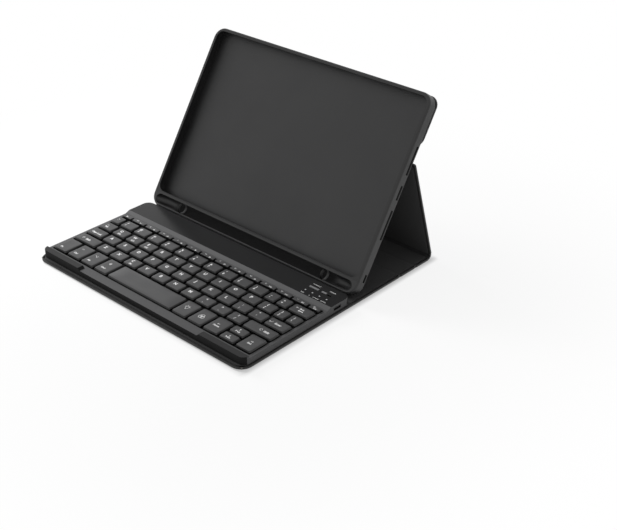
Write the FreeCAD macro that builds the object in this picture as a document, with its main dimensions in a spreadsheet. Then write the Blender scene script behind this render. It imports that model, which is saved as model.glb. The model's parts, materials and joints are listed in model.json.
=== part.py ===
# Tablet keyboard case: a folio of leather-covered boards, a soft tablet tray with a pen trough,
# and a slim keyboard that pulls off its cover. Modelled open, as it stands in use.
# Millimetres. X runs along the width, Y from the user towards the back, Z up from the desk.
# The origin is the middle of the cover's underside.
import FreeCAD
import Part
import Sketcher
import math
import os
import re

Vector = FreeCAD.Vector

SIZES = {
    # Folio panels: leather outside, board in the middle, lining inside.
    "cover_margin": 1.5,
    "cover_spare": 14.0,
    "spine_reach": 22.0,
    "strip_reach": 23.2,
    "stand_share": 0.5923,
    "fold_gap": 1.6,
    "stand_gap": 2.1,
    "fold_inset": 1.0,
    "corner_radius": 11.0,
    "stand_corner": 2.0,
    "leather_thick": 0.8,
    "board_thick": 1.2,
    "lining_thick": 0.6,
    "seam": 3.0,
    "lining_inset": 0.8,
    # Tablet tray and what is bonded to its back.
    "side_wall": 1.9,
    "trough_rib": 1.2,
    "back_wall": 1.9,
    "tray_radius": 11.0,
    "tray_edge": 1.6,
    "tray_tilt": 33.0,
    "foot_space": 2.0,
    "foot_clear": 0.3,
    "tablet_width": 254.6,
    "tablet_height": 166.1,
    "tablet_thick": 7.0,
    "tablet_clear": 0.3,
    "tablet_radius": 9.0,
    "tray_top_wall": 1.6,
    "lip_thick": 1.3,
    "lip_cover": 1.5,
    "trough_radius": 5.0,
    "trough_wall": 2.0,
    "trough_deep": 4.2,
    "trough_end": 5.0,
    "scoop_radius": 12.0,
    "hoop_bore": 4.5,
    "hoop_clear": 0.05,
    "hoop_long": 2.6,
    "hoop_place": 91.0,
    "rod_radius": 0.8,
    "rod_clear": 0.1,
    "rod_wall": 1.9,
    "rod_end": 16.0,
    "slot_tall": 2.6,
    "slot_depth": 3.6,
    "notch_tall": 3.0,
    "flap_reach": 45.0,
    "flap_radius": 9.0,
    "hinge_strip_reach": 11.0,
    "hinge_strip_thick": 1.2,
    "tip_clear": 0.35,
    # Keyboard case.
    "deck_rim": 2.0,
    "deck_front": 4.5,
    "plateau_deep": 24.5,
    "deck_height": 5.1,
    "deck_radius": 7.0,
    "deck_edge": 0.4,
    "deck_wall": 2.4,
    "deck_top_thick": 1.2,
    "deck_clear": 0.1,
    "bevel_space": 1.9,
    "bevel_deep": 5.0,
    "plateau_rise": 2.0,
    "block_long": 54.0,
    "block_deep": 6.2,
    "block_ramp": 2.5,
    "plate_thick": 0.8,
    "plate_clear": 0.2,
    "membrane_thick": 0.4,
    "guide_thick": 2.0,
    # Keys.
    "deck_margin": 4.0,
    "key_gap": 1.8,
    "palm_deep": 10.1,
    "near_deep": 21.5,
    "key_pitch": 14.2,
    "letter_share": 0.075,
    "grave_share": 0.0416,
    "tab_share": 0.0644,
    "caps_share": 0.0784,
    "shift_share": 0.1124,
    "narrow_share": 0.0488,
    "function_deep": 4.9,
    "arrow_gap": 0.8,
    "key_taper": 0.5,
    "key_bottom": 4.7,
    "key_top": 6.8,
    "key_travel": 1.2,
    "well_clear": 0.8,
    "stem_radius": 1.8,
    "stem_clear": 0.3,
    "dome_height": 1.4,
    "dome_clear": 0.1,
    # Indicators, button, switch, socket and the inner boards.
    "lens_radius": 0.7,
    "lens_inset": 35.2,
    "lens_pitch": 8.0,
    "lens_back": 6.5,
    "control_back": 13.0,
    "control_deep": 2.6,
    "control_long": 11.0,
    "button_inset": 36.5,
    "control_space": 3.0,
    "slider_long": 5.5,
    "control_clear": 0.3,
    "control_rise": 0.4,
    "button_travel": 0.6,
    "switch_height": 2.0,
    "board_long": 44.0,
    "circuit_thick": 1.0,
    "chip_thick": 0.8,
    "socket_back": 7.5,
    "socket_wide": 9.0,
    "socket_long": 7.4,
    "socket_tall": 3.2,
    "socket_wall": 0.4,
    "socket_clear": 0.2,
    "battery_space": 2.0,
    "battery_deep": 19.0,
    "battery_thick": 3.4,
    "magnet_long": 36.0,
    "magnet_deep": 4.0,
    "magnet_thick": 1.4,
    "magnet_share": 0.229,
    "foot_magnet_deep": 8.0,
    "screw_radius": 0.7,
    "screw_head": 1.6,
    "screw_head_thick": 0.45,
    "screw_long": 2.6,
    "screw_clear": 0.05,
    "boss_radius": 2.0,
    "screw_inset": 17.0,
}

# Sizes that follow from those above: the tray is made round its tablet, the folio round the tray,
# and the keyboard round its keys inside the folio.
DERIVED = {
    "tray_width": "tablet_width + 2 * tablet_clear + 2 * side_wall",
    "tray_height": "trough_wall + 2 * trough_radius + trough_rib + tablet_space + tray_top_wall",
    "tablet_space": "tablet_height + 2 * tablet_clear",
    "tray_thick": "back_wall + tablet_thick + tablet_clear + lip_thick",
    "tray_foot": "deck_rear + foot_space",
    "cover_width": "tray_width + 2 * cover_margin",
    "fold_one": "tray_height + cover_spare",
    "stand_reach": "tray_height * stand_share",
    "magnet_place": "cover_width * magnet_share",
    "deck_width": "cover_width - 2 * deck_rim",
    "key_zone": "deck_width - 2 * deck_margin",
    "key_front": "deck_front + palm_deep",
    "key_rear": "key_front + near_deep + key_gap + 4 * key_pitch + function_deep",
    "bevel_front": "key_rear + bevel_space",
    "plateau_front": "bevel_front + bevel_deep",
    "deck_rear": "plateau_front + plateau_deep",
    "letter_pitch": "key_zone * letter_share",
    "grave_width": "key_zone * grave_share",
    "tab_width": "key_zone * tab_share",
    "caps_width": "key_zone * caps_share",
    "shift_width": "key_zone * shift_share",
    "narrow_width": "key_zone * narrow_share",
    "lens_first": "deck_width / 2 - lens_inset",
    "lens_place": "plateau_front + lens_back",
    "control_place": "plateau_front + control_back",
    "button_left": "deck_width / 2 - button_inset",
    "slider_left": "button_left + control_long + control_space",
    "socket_place": "plateau_front + socket_back",
    "screw_side": "deck_width / 2 - screw_inset",
}

doc = FreeCAD.newDocument("tablet_keyboard_case")
sheet = doc.addObject("Spreadsheet::Sheet", "sizes")
for row, (alias, value) in enumerate(SIZES.items(), start=1):
    sheet.set("A%d" % row, str(value))
    sheet.setAlias("A%d" % row, alias)
doc.recompute()

PARTS = []


def formula(text):
    """An expression in which each size's name points at its cell, with the derived sizes written out."""

    def spell(word):
        name = word.group()
        if name in DERIVED:
            return "(%s)" % formula(DERIVED[name])
        return "sizes." + name if name in SIZES else name

    return re.sub(r"(?<![.a-z_])[a-z_]+", spell, str(text))


def size(name):
    """The value of one size, driving or derived."""
    return float(sheet.evalExpression(formula(name)))


def bind(thing, **properties):
    """Tie properties of an object to expressions of the sheet's sizes."""
    for name, text in properties.items():
        thing.setExpression(name.replace("__", "."), formula(text))


def sub_part(node, thing):
    """Keep an object as a finished piece under its node's name."""
    thing.Label = node
    PARTS.append((node, thing))
    return thing


# Levels and places that several pieces share, all worked out from the sheet.
PANEL = "(leather_thick + board_thick + lining_thick)"
COVER_DEPTH = "(fold_one - fold_gap)"
FRONT = "(-%s / 2)" % COVER_DEPTH
KEYBOARD_Z = "(%s + deck_clear)" % PANEL
PLATE_TOP = "(%s + plate_thick)" % KEYBOARD_Z
MEMBRANE_TOP = "(%s + membrane_thick)" % PLATE_TOP
GUIDE_TOP = "(%s + guide_thick)" % MEMBRANE_TOP
DECK_TOP = "(%s + deck_height)" % KEYBOARD_Z
PLATEAU_TOP = "(%s + plateau_rise)" % DECK_TOP


# Building blocks


def box(x, y, z, long, deep, tall):
    """A block from its low corner and its three sides."""
    thing = doc.addObject("Part::Box", "block")
    bind(thing, Placement__Base__x=x, Placement__Base__y=y, Placement__Base__z=z)
    bind(thing, Length=long, Width=deep, Height=tall)
    return thing


def post(x, y, z, radius, tall):
    """An upright round bar from the middle of its foot."""
    thing = doc.addObject("Part::Cylinder", "post")
    bind(thing, Placement__Base__x=x, Placement__Base__y=y, Placement__Base__z=z)
    bind(thing, Radius=radius, Height=tall)
    return thing


def taper(x, y, z, tall, top_x=None, top_y=None):
    """A block whose top face may be smaller than its foot: x, y, top_x and top_y are (low, high)."""
    top_x = top_x or x
    top_y = top_y or y
    thing = doc.addObject("Part::Wedge", "taper")
    thing.Placement = FreeCAD.Placement(Vector(), FreeCAD.Rotation(Vector(1, 0, 0), 90))
    bind(thing, Placement__Base__z=z, Ymin="0", Ymax=tall)
    bind(thing, Xmin=x[0], Xmax=x[1], Zmin="-(%s)" % y[1], Zmax="-(%s)" % y[0])
    bind(thing, X2min=top_x[0], X2max=top_x[1], Z2min="-(%s)" % top_y[1], Z2max="-(%s)" % top_y[0])
    return thing


def fuse(*things):
    """Join several objects into one solid."""
    thing = doc.addObject("Part::MultiFuse", "joined")
    thing.Shapes = list(things)
    thing.Refine = True
    return thing


def cut(base, *tools):
    """Take one or more objects out of another."""
    thing = doc.addObject("Part::Cut", "cut")
    thing.Base = base
    thing.Tool = fuse(*tools) if len(tools) > 1 else tools[0]
    return thing


def group(*things):
    """Several separate solids kept as one piece."""
    thing = doc.addObject("Part::Compound", "group")
    thing.Links = list(things)
    return thing


def upright_edges(shape, keep):
    """Numbers of the shape's straight upright edges that the test keeps."""
    numbers = []
    for number, edge in enumerate(shape.Edges, start=1):
        low, high = edge.Vertexes[0].Point, edge.Vertexes[-1].Point
        level = abs(low.x - high.x) + abs(low.y - high.y) < 1e-6
        if level and abs(low.z - high.z) > 1e-6 and keep(low):
            numbers.append(number)
    return numbers


def rounded_corners(thing, radius, keep):
    """Round the upright edges of a Part object."""
    doc.recompute()
    rounded = doc.addObject("Part::Fillet", "rounded")
    rounded.Base = thing
    rounded.Edges = [(number, radius, radius) for number in upright_edges(thing.Shape, keep)]
    return rounded


def new_body(node, placement):
    """A body of sketches and features, set in its place."""
    body = doc.addObject("PartDesign::Body", node)
    body.Placement = placement
    return sub_part(node, body)


def rectangle(body, left, low, wide, tall, lift="0", role="XY_Plane"):
    """A rectangle sketched on one of the body's planes, with each side tied to the sheet."""
    sketch = body.newObject("Sketcher::SketchObject", "outline")
    plane = [item for item in body.Origin.OriginFeatures if item.Role == role][0]
    sketch.AttachmentSupport = [(plane, "")]
    sketch.MapMode = "FlatFace"
    bind(sketch, AttachmentOffset__Base__z=lift)
    corners = [Vector(0, 0, 0), Vector(1, 0, 0), Vector(1, 1, 0), Vector(0, 1, 0)]
    for side in range(4):
        sketch.addGeometry(Part.LineSegment(corners[side], corners[(side + 1) % 4]))
    for side in range(4):
        sketch.addConstraint(Sketcher.Constraint("Coincident", side, 2, (side + 1) % 4, 1))
        sketch.addConstraint(Sketcher.Constraint("Vertical" if side % 2 else "Horizontal", side))
    places = {
        "left": (("DistanceX", -1, 1, 0, 1), left),
        "low": (("DistanceY", -1, 1, 0, 1), low),
        "wide": (("DistanceX", 0, 1, 0, 2), wide),
        "tall": (("DistanceY", 1, 1, 1, 2), tall),
    }
    for name, (what, text) in places.items():
        number = sketch.addConstraint(Sketcher.Constraint(*what, 1.0))
        sketch.renameConstraint(number, name)
        sketch.setExpression("Constraints." + name, formula(text))
    return sketch


def rounded_rectangle(body, left, low, wide, tall, radius, lift):
    """A rectangle with round corners on the body's flat plane: four sides and four tangent arcs."""
    sketch = body.newObject("Sketcher::SketchObject", "outline")
    plane = [item for item in body.Origin.OriginFeatures if item.Role == "XY_Plane"][0]
    sketch.AttachmentSupport = [(plane, "")]
    sketch.MapMode = "FlatFace"
    bind(sketch, AttachmentOffset__Base__z=lift)
    x, y, across, along, bend = [
        float(sketch.evalExpression(formula(text))) for text in (left, low, wide, tall, radius)
    ]
    middles = [(x + bend, y + bend), (x + across - bend, y + bend)]
    middles += [(x + across - bend, y + along - bend), (x + bend, y + along - bend)]
    for corner in range(4):
        turn = (corner - 1) * math.pi / 2
        here, there = middles[corner], middles[(corner + 1) % 4]
        out = Vector(math.cos(turn) * bend, math.sin(turn) * bend, 0)
        sketch.addGeometry(Part.LineSegment(Vector(*here, 0) + out, Vector(*there, 0) + out))
        bow = Part.Circle(Vector(*there, 0), Vector(0, 0, 1), bend)
        sketch.addGeometry(Part.ArcOfCircle(bow, turn, turn + math.pi / 2))
    for corner in range(4):
        side, arc, following = 2 * corner, 2 * corner + 1, (2 * corner + 2) % 8
        sketch.addConstraint(Sketcher.Constraint("Tangent", side, 2, arc, 1))
        sketch.addConstraint(Sketcher.Constraint("Tangent", arc, 2, following, 1))
        sketch.addConstraint(Sketcher.Constraint("Vertical" if corner % 2 else "Horizontal", side))
    for corner in range(3):
        sketch.addConstraint(Sketcher.Constraint("Equal", 2 * corner + 1, 2 * corner + 3))
    places = {
        "left": (("DistanceX", -1, 1, 6, 1), left, x),
        "low": (("DistanceY", -1, 1, 0, 1), low, y),
        "wide": (("DistanceX", 6, 1, 2, 1), wide, across),
        "tall": (("DistanceY", 0, 1, 4, 1), tall, along),
        "radius": (("Radius", 1), radius, bend),
    }
    for name, (what, text, value) in places.items():
        number = sketch.addConstraint(Sketcher.Constraint(*what, value))
        sketch.renameConstraint(number, name)
        sketch.setExpression("Constraints." + name, formula(text))
    return sketch


def circle(body, across, along, radius, lift, role):
    """A circle sketched on one of the body's planes."""
    sketch = body.newObject("Sketcher::SketchObject", "ring")
    plane = [item for item in body.Origin.OriginFeatures if item.Role == role][0]
    sketch.AttachmentSupport = [(plane, "")]
    sketch.MapMode = "FlatFace"
    bind(sketch, AttachmentOffset__Base__z=lift)
    sketch.addGeometry(Part.Circle(Vector(1, 1, 0), Vector(0, 0, 1), 1.0))
    places = {
        "across": (("DistanceX", -1, 1, 0, 3), across),
        "along": (("DistanceY", -1, 1, 0, 3), along),
        "radius": (("Radius", 0), radius),
    }
    for name, (what, text) in places.items():
        number = sketch.addConstraint(Sketcher.Constraint(*what, 1.0))
        sketch.renameConstraint(number, name)
        sketch.setExpression("Constraints." + name, formula(text))
    return sketch


def pad(body, sketch, tall, middle=False):
    """Raise a sketch into a solid."""
    feature = body.newObject("PartDesign::Pad", "raised")
    feature.Profile = sketch
    feature.Midplane = middle
    bind(feature, Length=tall)
    return feature


def pocket(body, sketch, deep, middle=False):
    """Sink a sketch into the body."""
    feature = body.newObject("PartDesign::Pocket", "sunk")
    feature.Profile = sketch
    feature.Midplane = middle
    bind(feature, Length=deep)
    return feature


def round_body(body, feature, radius, edges):
    """Round chosen edges of a body's last feature."""
    rounded = body.newObject("PartDesign::Fillet", "round")
    rounded.Base = (feature, ["Edge%d" % number for number in edges])
    bind(rounded, Radius=radius)
    return rounded


# Poses: where the folds and the tray stand when the case is in use

HALF = (size("leather_thick") + size("board_thick") + size("lining_thick")) / 2
FRONT_Y = -(size("fold_one") - size("fold_gap")) / 2
LEAN = math.radians(90 - size("tray_tilt"))
ROD_DEPTH = size("tray_thick") - size("rod_wall")

fold_one = Vector(0, FRONT_Y + size("fold_one"), HALF)
fold_two = fold_one + Vector(0, size("spine_reach"), 0)
fold_three = fold_two + Vector(0, size("strip_reach"), 0)

tray_up = Vector(0, math.cos(LEAN), math.sin(LEAN))
tray_back = Vector(0, math.sin(LEAN), -math.cos(LEAN))
foot_y = FRONT_Y + size("tray_foot") + size("rod_wall") * tray_up.y + ROD_DEPTH * tray_back.y
foot = Vector(0, foot_y, 2 * HALF + size("foot_clear") + size("rod_wall"))

# The stand panel leans until its upper inner edge all but meets the tray's back.
back_distance = (fold_three - foot).dot(tray_back) - size("rod_wall")
reach = math.hypot(size("stand_reach"), HALF)
rise = math.asin((back_distance - size("tip_clear")) / reach)
STAND_ANGLE = LEAN + rise - math.atan2(HALF, size("stand_reach"))


def turned(angle):
    return FreeCAD.Rotation(Vector(1, 0, 0), math.degrees(angle))


def on_fold(fold, angle):
    """The place of a panel that starts at a fold and rises at an angle."""
    rotation = turned(angle)
    return FreeCAD.Placement(fold - rotation.multVec(Vector(0, 0, HALF)), rotation)


def on_tray():
    """The tray's own place: its origin is the middle of its back face's foot."""
    rotation = turned(LEAN)
    rod_place = Vector(0, size("rod_wall"), size("rod_wall"))
    return FreeCAD.Placement(foot - rotation.multVec(rod_place), rotation)


# Folio panels


def round_ends(body, sheet_pad, far, radius):
    """Round the two near or the two far corners of a panel's outline."""
    doc.recompute()
    ends = upright_edges(sheet_pad.Shape, lambda point: True)
    depth = {n: sheet_pad.Shape.Edges[n - 1].Vertexes[0].Point.y for n in ends}
    middle = sum(depth.values()) / len(depth)
    round_body(body, sheet_pad, radius, [n for n in ends if (depth[n] > middle) == far])


def panel(name, place, start, long, far=False, corner=None, magnets=()):
    """Leather with a shallow bed, the board that fills the bed, and the lining over both.
    The two far or the two near corners are round where the panel has a corner radius."""
    leather = new_body(name + "_leather", place)
    sheet_pad = pad(
        leather,
        rectangle(leather, "-cover_width / 2", start, "cover_width", long),
        "leather_thick + board_thick",
    )
    if corner:
        round_ends(leather, sheet_pad, far, corner)
    bed = ("-cover_width / 2 + seam", "%s + seam" % start, "cover_width - 2 * seam", "%s - 2 * seam" % long)
    pocket(leather, rectangle(leather, *bed, lift="leather_thick + board_thick"), "board_thick")

    board = new_body(name + "_board", place)
    pad(board, rectangle(board, *bed, lift="leather_thick"), "board_thick")
    for left, low, wide, deep in magnets:
        window = rectangle(board, left, low, wide, deep, lift="leather_thick + board_thick")
        pocket(board, window, "board_thick")

    lining = new_body(name + "_lining", place)
    inset = "lining_inset"
    lining_pad = pad(
        lining,
        rectangle(
            lining,
            "-cover_width / 2 + %s" % inset,
            "%s + %s" % (start, inset),
            "cover_width - 2 * %s" % inset,
            "%s - 2 * %s" % (long, inset),
            lift="leather_thick + board_thick",
        ),
        "lining_thick",
    )
    if corner:
        round_ends(lining, lining_pad, far, "%s - %s" % (corner, inset))


def fold_roll(node, fold):
    """The soft crease between two panels: a roll of leather and lining along the fold's axis."""
    roll = doc.addObject("Part::Cylinder", "crease")
    roll.Placement = FreeCAD.Placement(Vector(0, fold.y, fold.z), FreeCAD.Rotation(Vector(0, 1, 0), 90))
    bind(roll, Placement__Base__x="-cover_width / 2 + fold_inset")
    bind(roll, Radius="%s / 2" % PANEL, Height="cover_width - 2 * fold_inset")
    sub_part(node, roll)


# Magnets in the cover: two under the keyboard's palm strip, two under the tray's foot.
FOOT_LINE = "(tray_foot + tray_thick - foot_magnet_deep / 2)"
PALM_LINE = "(deck_front + deck_wall + plate_clear)"
MAGNET_BEDS = [
    ("%s * magnet_place - magnet_long / 2" % side, line, "magnet_long", deep)
    for line, deep in ((PALM_LINE, "magnet_deep"), (FOOT_LINE, "foot_magnet_deep"))
    for side in ("-1", "1")
]

cover_place = FreeCAD.Placement(Vector(0, FRONT_Y, 0), FreeCAD.Rotation())
stand_place = on_fold(fold_three, STAND_ANGLE)
panel("cover", cover_place, "0", COVER_DEPTH, corner="corner_radius", magnets=MAGNET_BEDS)
panel("spine", on_fold(fold_one, 0), "fold_gap", "(spine_reach - 2 * fold_gap)")
panel("strip", on_fold(fold_two, 0), "fold_gap", "(strip_reach - fold_gap - stand_gap)")
panel("stand", stand_place, "stand_gap", "(stand_reach - stand_gap)", far=True, corner="stand_corner")

fold_roll("spine_fold", fold_one)
fold_roll("strip_fold", fold_two)
fold_roll("stand_fold", fold_three)

cover_magnets = group(
    *[
        box(left, "%s + %s" % (FRONT, low), "leather_thick", wide, deep, "board_thick")
        for left, low, wide, deep in MAGNET_BEDS
    ]
)
sub_part("cover_magnets", cover_magnets)


# Tablet tray

TABLET_LOW = "(tray_height - tray_top_wall - tablet_space)"
TABLET_WIDE = "(tablet_width + 2 * tablet_clear)"
TABLET_TALL = "tablet_space"
TABLET_DEEP = "(tablet_thick + tablet_clear)"
TROUGH_MIDDLE = "(trough_wall + trough_radius)"
TROUGH_LEVEL = "(tray_thick - trough_deep)"
TROUGH_LONG = "(tray_width - 2 * trough_end)"
# The trough's floor rises to the front face at both ends, along a wheel's rim.
SCOOP_REACH = "sqrt((scoop_radius + trough_radius)^2 - (scoop_radius - trough_deep)^2)"
SCOOP_PLACE = "(%s / 2 - %s)" % (TROUGH_LONG, SCOOP_REACH)
# Openings in the right wall, from the foot up: low end, high end.
SIDE_SLOTS = ((14.0, 21.0), (53.0, 79.5), (89.0, 101.7), (111.5, 137.0))
# Openings in the top wall for the tablet's keys: left end, right end.
TOP_NOTCHES = ((-31.0, -14.0), (31.0, 47.0))


def scoop(tray, x):
    """One rising end of the trough: the rounded rim of a wheel that lies across the tray."""
    level = "%s + scoop_radius" % TROUGH_LEVEL
    for kind, low in (("Cylinder", "%s - trough_radius" % TROUGH_MIDDLE), ("Torus", TROUGH_MIDDLE)):
        wheel = tray.newObject("PartDesign::Subtractive" + kind, "scoop")
        wheel.Placement = FreeCAD.Placement(Vector(), turned(-math.pi / 2))
        bind(wheel, Placement__Base__x=x, Placement__Base__y=low, Placement__Base__z=level)
        if kind == "Cylinder":
            bind(wheel, Radius="scoop_radius", Height="2 * trough_radius")
        else:
            bind(wheel, Radius1="scoop_radius", Radius2="trough_radius")


def tablet_tray():
    """A soft shell with a lip round the screen, a pen trough along its foot and openings for the ports."""
    tray = new_body("tray_shell", on_tray())
    shell = pad(
        tray,
        rectangle(tray, "-tray_width / 2", "0", "tray_width", "tray_height"),
        "tray_thick",
    )
    doc.recompute()
    shell = round_body(tray, shell, "tray_radius", upright_edges(shell.Shape, lambda point: True))
    doc.recompute()
    rims = [
        number
        for number, edge in enumerate(shell.Shape.Edges, start=1)
        if edge.BoundBox.ZLength < 1e-6
    ]
    round_body(tray, shell, "tray_edge", rims)

    bed = ("-%s / 2" % TABLET_WIDE, TABLET_LOW, TABLET_WIDE, TABLET_TALL)
    bed_outline = rounded_rectangle(tray, *bed, "tablet_radius", "tray_thick - lip_thick")
    pocket(tray, bed_outline, TABLET_DEEP)
    window = (
        "-%s / 2 + lip_cover" % TABLET_WIDE,
        "%s + lip_cover" % TABLET_LOW,
        "%s - 2 * lip_cover" % TABLET_WIDE,
        "%s - 2 * lip_cover" % TABLET_TALL,
    )
    window_outline = rounded_rectangle(tray, *window, "tablet_radius - lip_cover", "tray_thick")
    pocket(tray, window_outline, "lip_thick")
    mouth = (
        "-%s" % SCOOP_PLACE,
        "%s - trough_radius" % TROUGH_MIDDLE,
        "2 * %s" % SCOOP_PLACE,
        "2 * trough_radius",
    )
    pocket(tray, rectangle(tray, *mouth, lift="tray_thick"), "trough_deep")
    floor = circle(tray, TROUGH_MIDDLE, TROUGH_LEVEL, "trough_radius", "0", "YZ_Plane")
    pocket(tray, floor, "2 * %s" % SCOOP_PLACE, middle=True)
    for side in ("-1", "1"):
        scoop(tray, "%s * %s" % (side, SCOOP_PLACE))
    rod_bore = circle(tray, "rod_wall", "rod_wall", "rod_radius + rod_clear", "0", "YZ_Plane")
    pocket(tray, rod_bore, "tray_width - 2 * rod_end", middle=True)
    for low, high in SIDE_SLOTS:
        slot = rectangle(
            tray, low, "slot_depth - slot_tall / 2", high - low, "slot_tall", "tray_width / 2", "YZ_Plane"
        )
        pocket(tray, slot, "side_wall + tablet_clear")
    notch_low = "slot_depth - notch_tall / 2"
    for left, right in TOP_NOTCHES:
        slot = rectangle(
            tray, left, notch_low, right - left, "notch_tall", "-tray_height", "XZ_Plane"
        )
        pocket(tray, slot, "tray_top_wall + tablet_clear").Reversed = True


tablet_tray()

# Two hoops stand in the trough and hold the pen.
hoops = []
for side in ("-1", "1"):
    rounds = []
    for radius in ("trough_radius - hoop_clear", "hoop_bore"):
        thing = doc.addObject("Part::Cylinder", "hoop")
        thing.Placement = FreeCAD.Placement(Vector(), FreeCAD.Rotation(Vector(0, 1, 0), 90))
        bind(thing, Placement__Base__x="%s * hoop_place - hoop_long / 2" % side)
        bind(thing, Placement__Base__y=TROUGH_MIDDLE, Placement__Base__z=TROUGH_LEVEL)
        bind(thing, Radius=radius, Height="hoop_long")
        rounds.append(thing)
    hoops.append(cut(*rounds))
pen_hoops = group(*hoops)
pen_hoops.Placement = on_tray()
sub_part("pen_hoops", pen_hoops)

foot_rod = doc.addObject("Part::Cylinder", "foot_rod")
foot_rod.Placement = FreeCAD.Placement(foot, FreeCAD.Rotation(Vector(0, 1, 0), 90))
bind(foot_rod, Placement__Base__x="-tray_width / 2 + rod_end + rod_clear")
bind(foot_rod, Radius="rod_radius", Height="tray_width - 2 * rod_end - 2 * rod_clear")
sub_part("foot_rod", foot_rod)

# The flap panel and the soft hinge strip lie on the tray's back, so they rise below its zero plane.
FLAP_LOW = "(tray_height - flap_reach)"
FLAP_THICK = "(leather_thick + board_thick)"


def back_flap():
    """The upper back panel, bonded to the tray, with its board in a bed towards the tray."""
    flap = new_body("flap_leather", on_tray())
    sheet_pad = pad(
        flap,
        rectangle(flap, "-tray_width / 2", FLAP_LOW, "tray_width", "flap_reach", lift="-%s" % FLAP_THICK),
        FLAP_THICK,
    )
    doc.recompute()
    round_body(flap, sheet_pad, "flap_radius", upright_edges(sheet_pad.Shape, lambda point: True))
    bed = (
        "-tray_width / 2 + seam",
        "%s + seam" % FLAP_LOW,
        "tray_width - 2 * seam",
        "flap_reach - 2 * seam",
    )
    pocket(flap, rectangle(flap, *bed), "board_thick")
    board = new_body("flap_board", on_tray())
    pad(board, rectangle(board, *bed, lift="-board_thick"), "board_thick")
    strip = new_body("hinge_strip", on_tray())
    low = "%s - hinge_strip_reach" % FLAP_LOW
    outline = ("-tray_width / 2 + seam", low, "tray_width - 2 * seam", "hinge_strip_reach")
    pad(strip, rectangle(strip, *outline, lift="-hinge_strip_thick"), "hinge_strip_thick")


back_flap()


# Keys

def spread(widths):
    """Low and high X of each key in a row, from its widths, laid from the left with the key gap."""
    left = "-key_zone / 2"
    spans = []
    for width in widths:
        spans.append((left, "%s + %s" % (left, width)))
        left = "%s + %s + key_gap" % (left, width)
    return spans


def rest(widths, keys):
    """The width that is left for a row's one long key."""
    used = " - ".join(["key_zone", "%d * key_gap" % (keys - 1)] + list(widths))
    return "(%s)" % used


LETTER = "(letter_pitch - key_gap)"
NARROW = "narrow_width"
number_row = ["grave_width"] + [LETTER] * 10 + [NARROW] * 2
upper_row = ["tab_width"] + [LETTER] * 11 + [NARROW]
home_row = ["caps_width"] + [LETTER] * 11
lower_row = ["shift_width"] + [LETTER] * 10
near_row = [LETTER] * 9
end_width = "((key_zone - 12 * letter_pitch - key_gap) / 2)"
near_spans = spread([LETTER] * 4 + [rest(near_row, 10)] + [LETTER] * 5)


def row_low(number):
    """The near edge of a row of keys, counted from the space bar's row."""
    if number == 0:
        return "(%s + key_front)" % FRONT
    return "(%s + key_front + near_deep + key_gap + %d * key_pitch)" % (FRONT, number - 1)


def keys_of(spans, low, deep):
    """Where each key of a row lies: its X span and its Y span."""
    return [(span, (low, "%s + %s" % (low, deep))) for span in spans]


KEY_DEEP = "(key_pitch - key_gap)"
HALF_KEY = "((near_deep - arrow_gap) / 2)"
arrow_high = "%s + %s + arrow_gap" % (row_low(0), HALF_KEY)
function_row = [end_width] + [LETTER] * 12 + [end_width]
KEY_GROUPS = {
    "function_keys": keys_of(spread(function_row), row_low(5), "function_deep"),
    "number_keys": keys_of(spread(number_row + [rest(number_row, 14)]), row_low(4), KEY_DEEP),
    "upper_keys": keys_of(spread(upper_row + [rest(upper_row, 14)]), row_low(3), KEY_DEEP),
    "home_keys": keys_of(spread(home_row + [rest(home_row, 13)]), row_low(2), KEY_DEEP),
    "lower_keys": keys_of(spread(lower_row + [rest(lower_row, 12)]), row_low(1), KEY_DEEP),
    "modifier_keys": keys_of(near_spans[0:4] + near_spans[5:7], row_low(0), "near_deep"),
    "space_bar": keys_of(near_spans[4:5], row_low(0), "near_deep"),
    "arrow_keys": keys_of([near_spans[7], near_spans[9]], row_low(0), "near_deep")
    + keys_of([near_spans[8]], row_low(0), HALF_KEY)
    + keys_of([near_spans[8]], arrow_high, HALF_KEY),
}
STEM_LOW = "(%s + dome_height + dome_clear)" % MEMBRANE_TOP
KEY_LOW = "(%s + key_bottom)" % KEYBOARD_Z
guide_holes = []
for node, places in KEY_GROUPS.items():
    caps = []
    domes = []
    for across, along in places:
        low_x, high_x = across
        low_y, high_y = along
        cap = taper(
            across,
            along,
            KEY_LOW,
            "key_top - key_bottom",
            ("%s + key_taper" % low_x, "%s - key_taper" % high_x),
            ("%s + key_taper" % low_y, "%s - key_taper" % high_y),
        )
        centre = ("(%s + %s) / 2" % (low_x, high_x), "(%s + %s) / 2" % (low_y, high_y))
        stem = post(*centre, STEM_LOW, "stem_radius", "%s - %s" % (KEY_LOW, STEM_LOW))
        caps.append(fuse(cap, stem))
        domes.append(post(*centre, MEMBRANE_TOP, "stem_radius", "dome_height"))
        guide_holes.append(post(*centre, MEMBRANE_TOP, "stem_radius + stem_clear", "guide_thick"))
    dome_node = node.replace("_keys", "").replace("_bar", "") + "_domes"
    sub_part(node, group(*caps) if len(caps) > 1 else caps[0])
    sub_part(dome_node, group(*domes) if len(domes) > 1 else domes[0])


# Keyboard case

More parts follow.
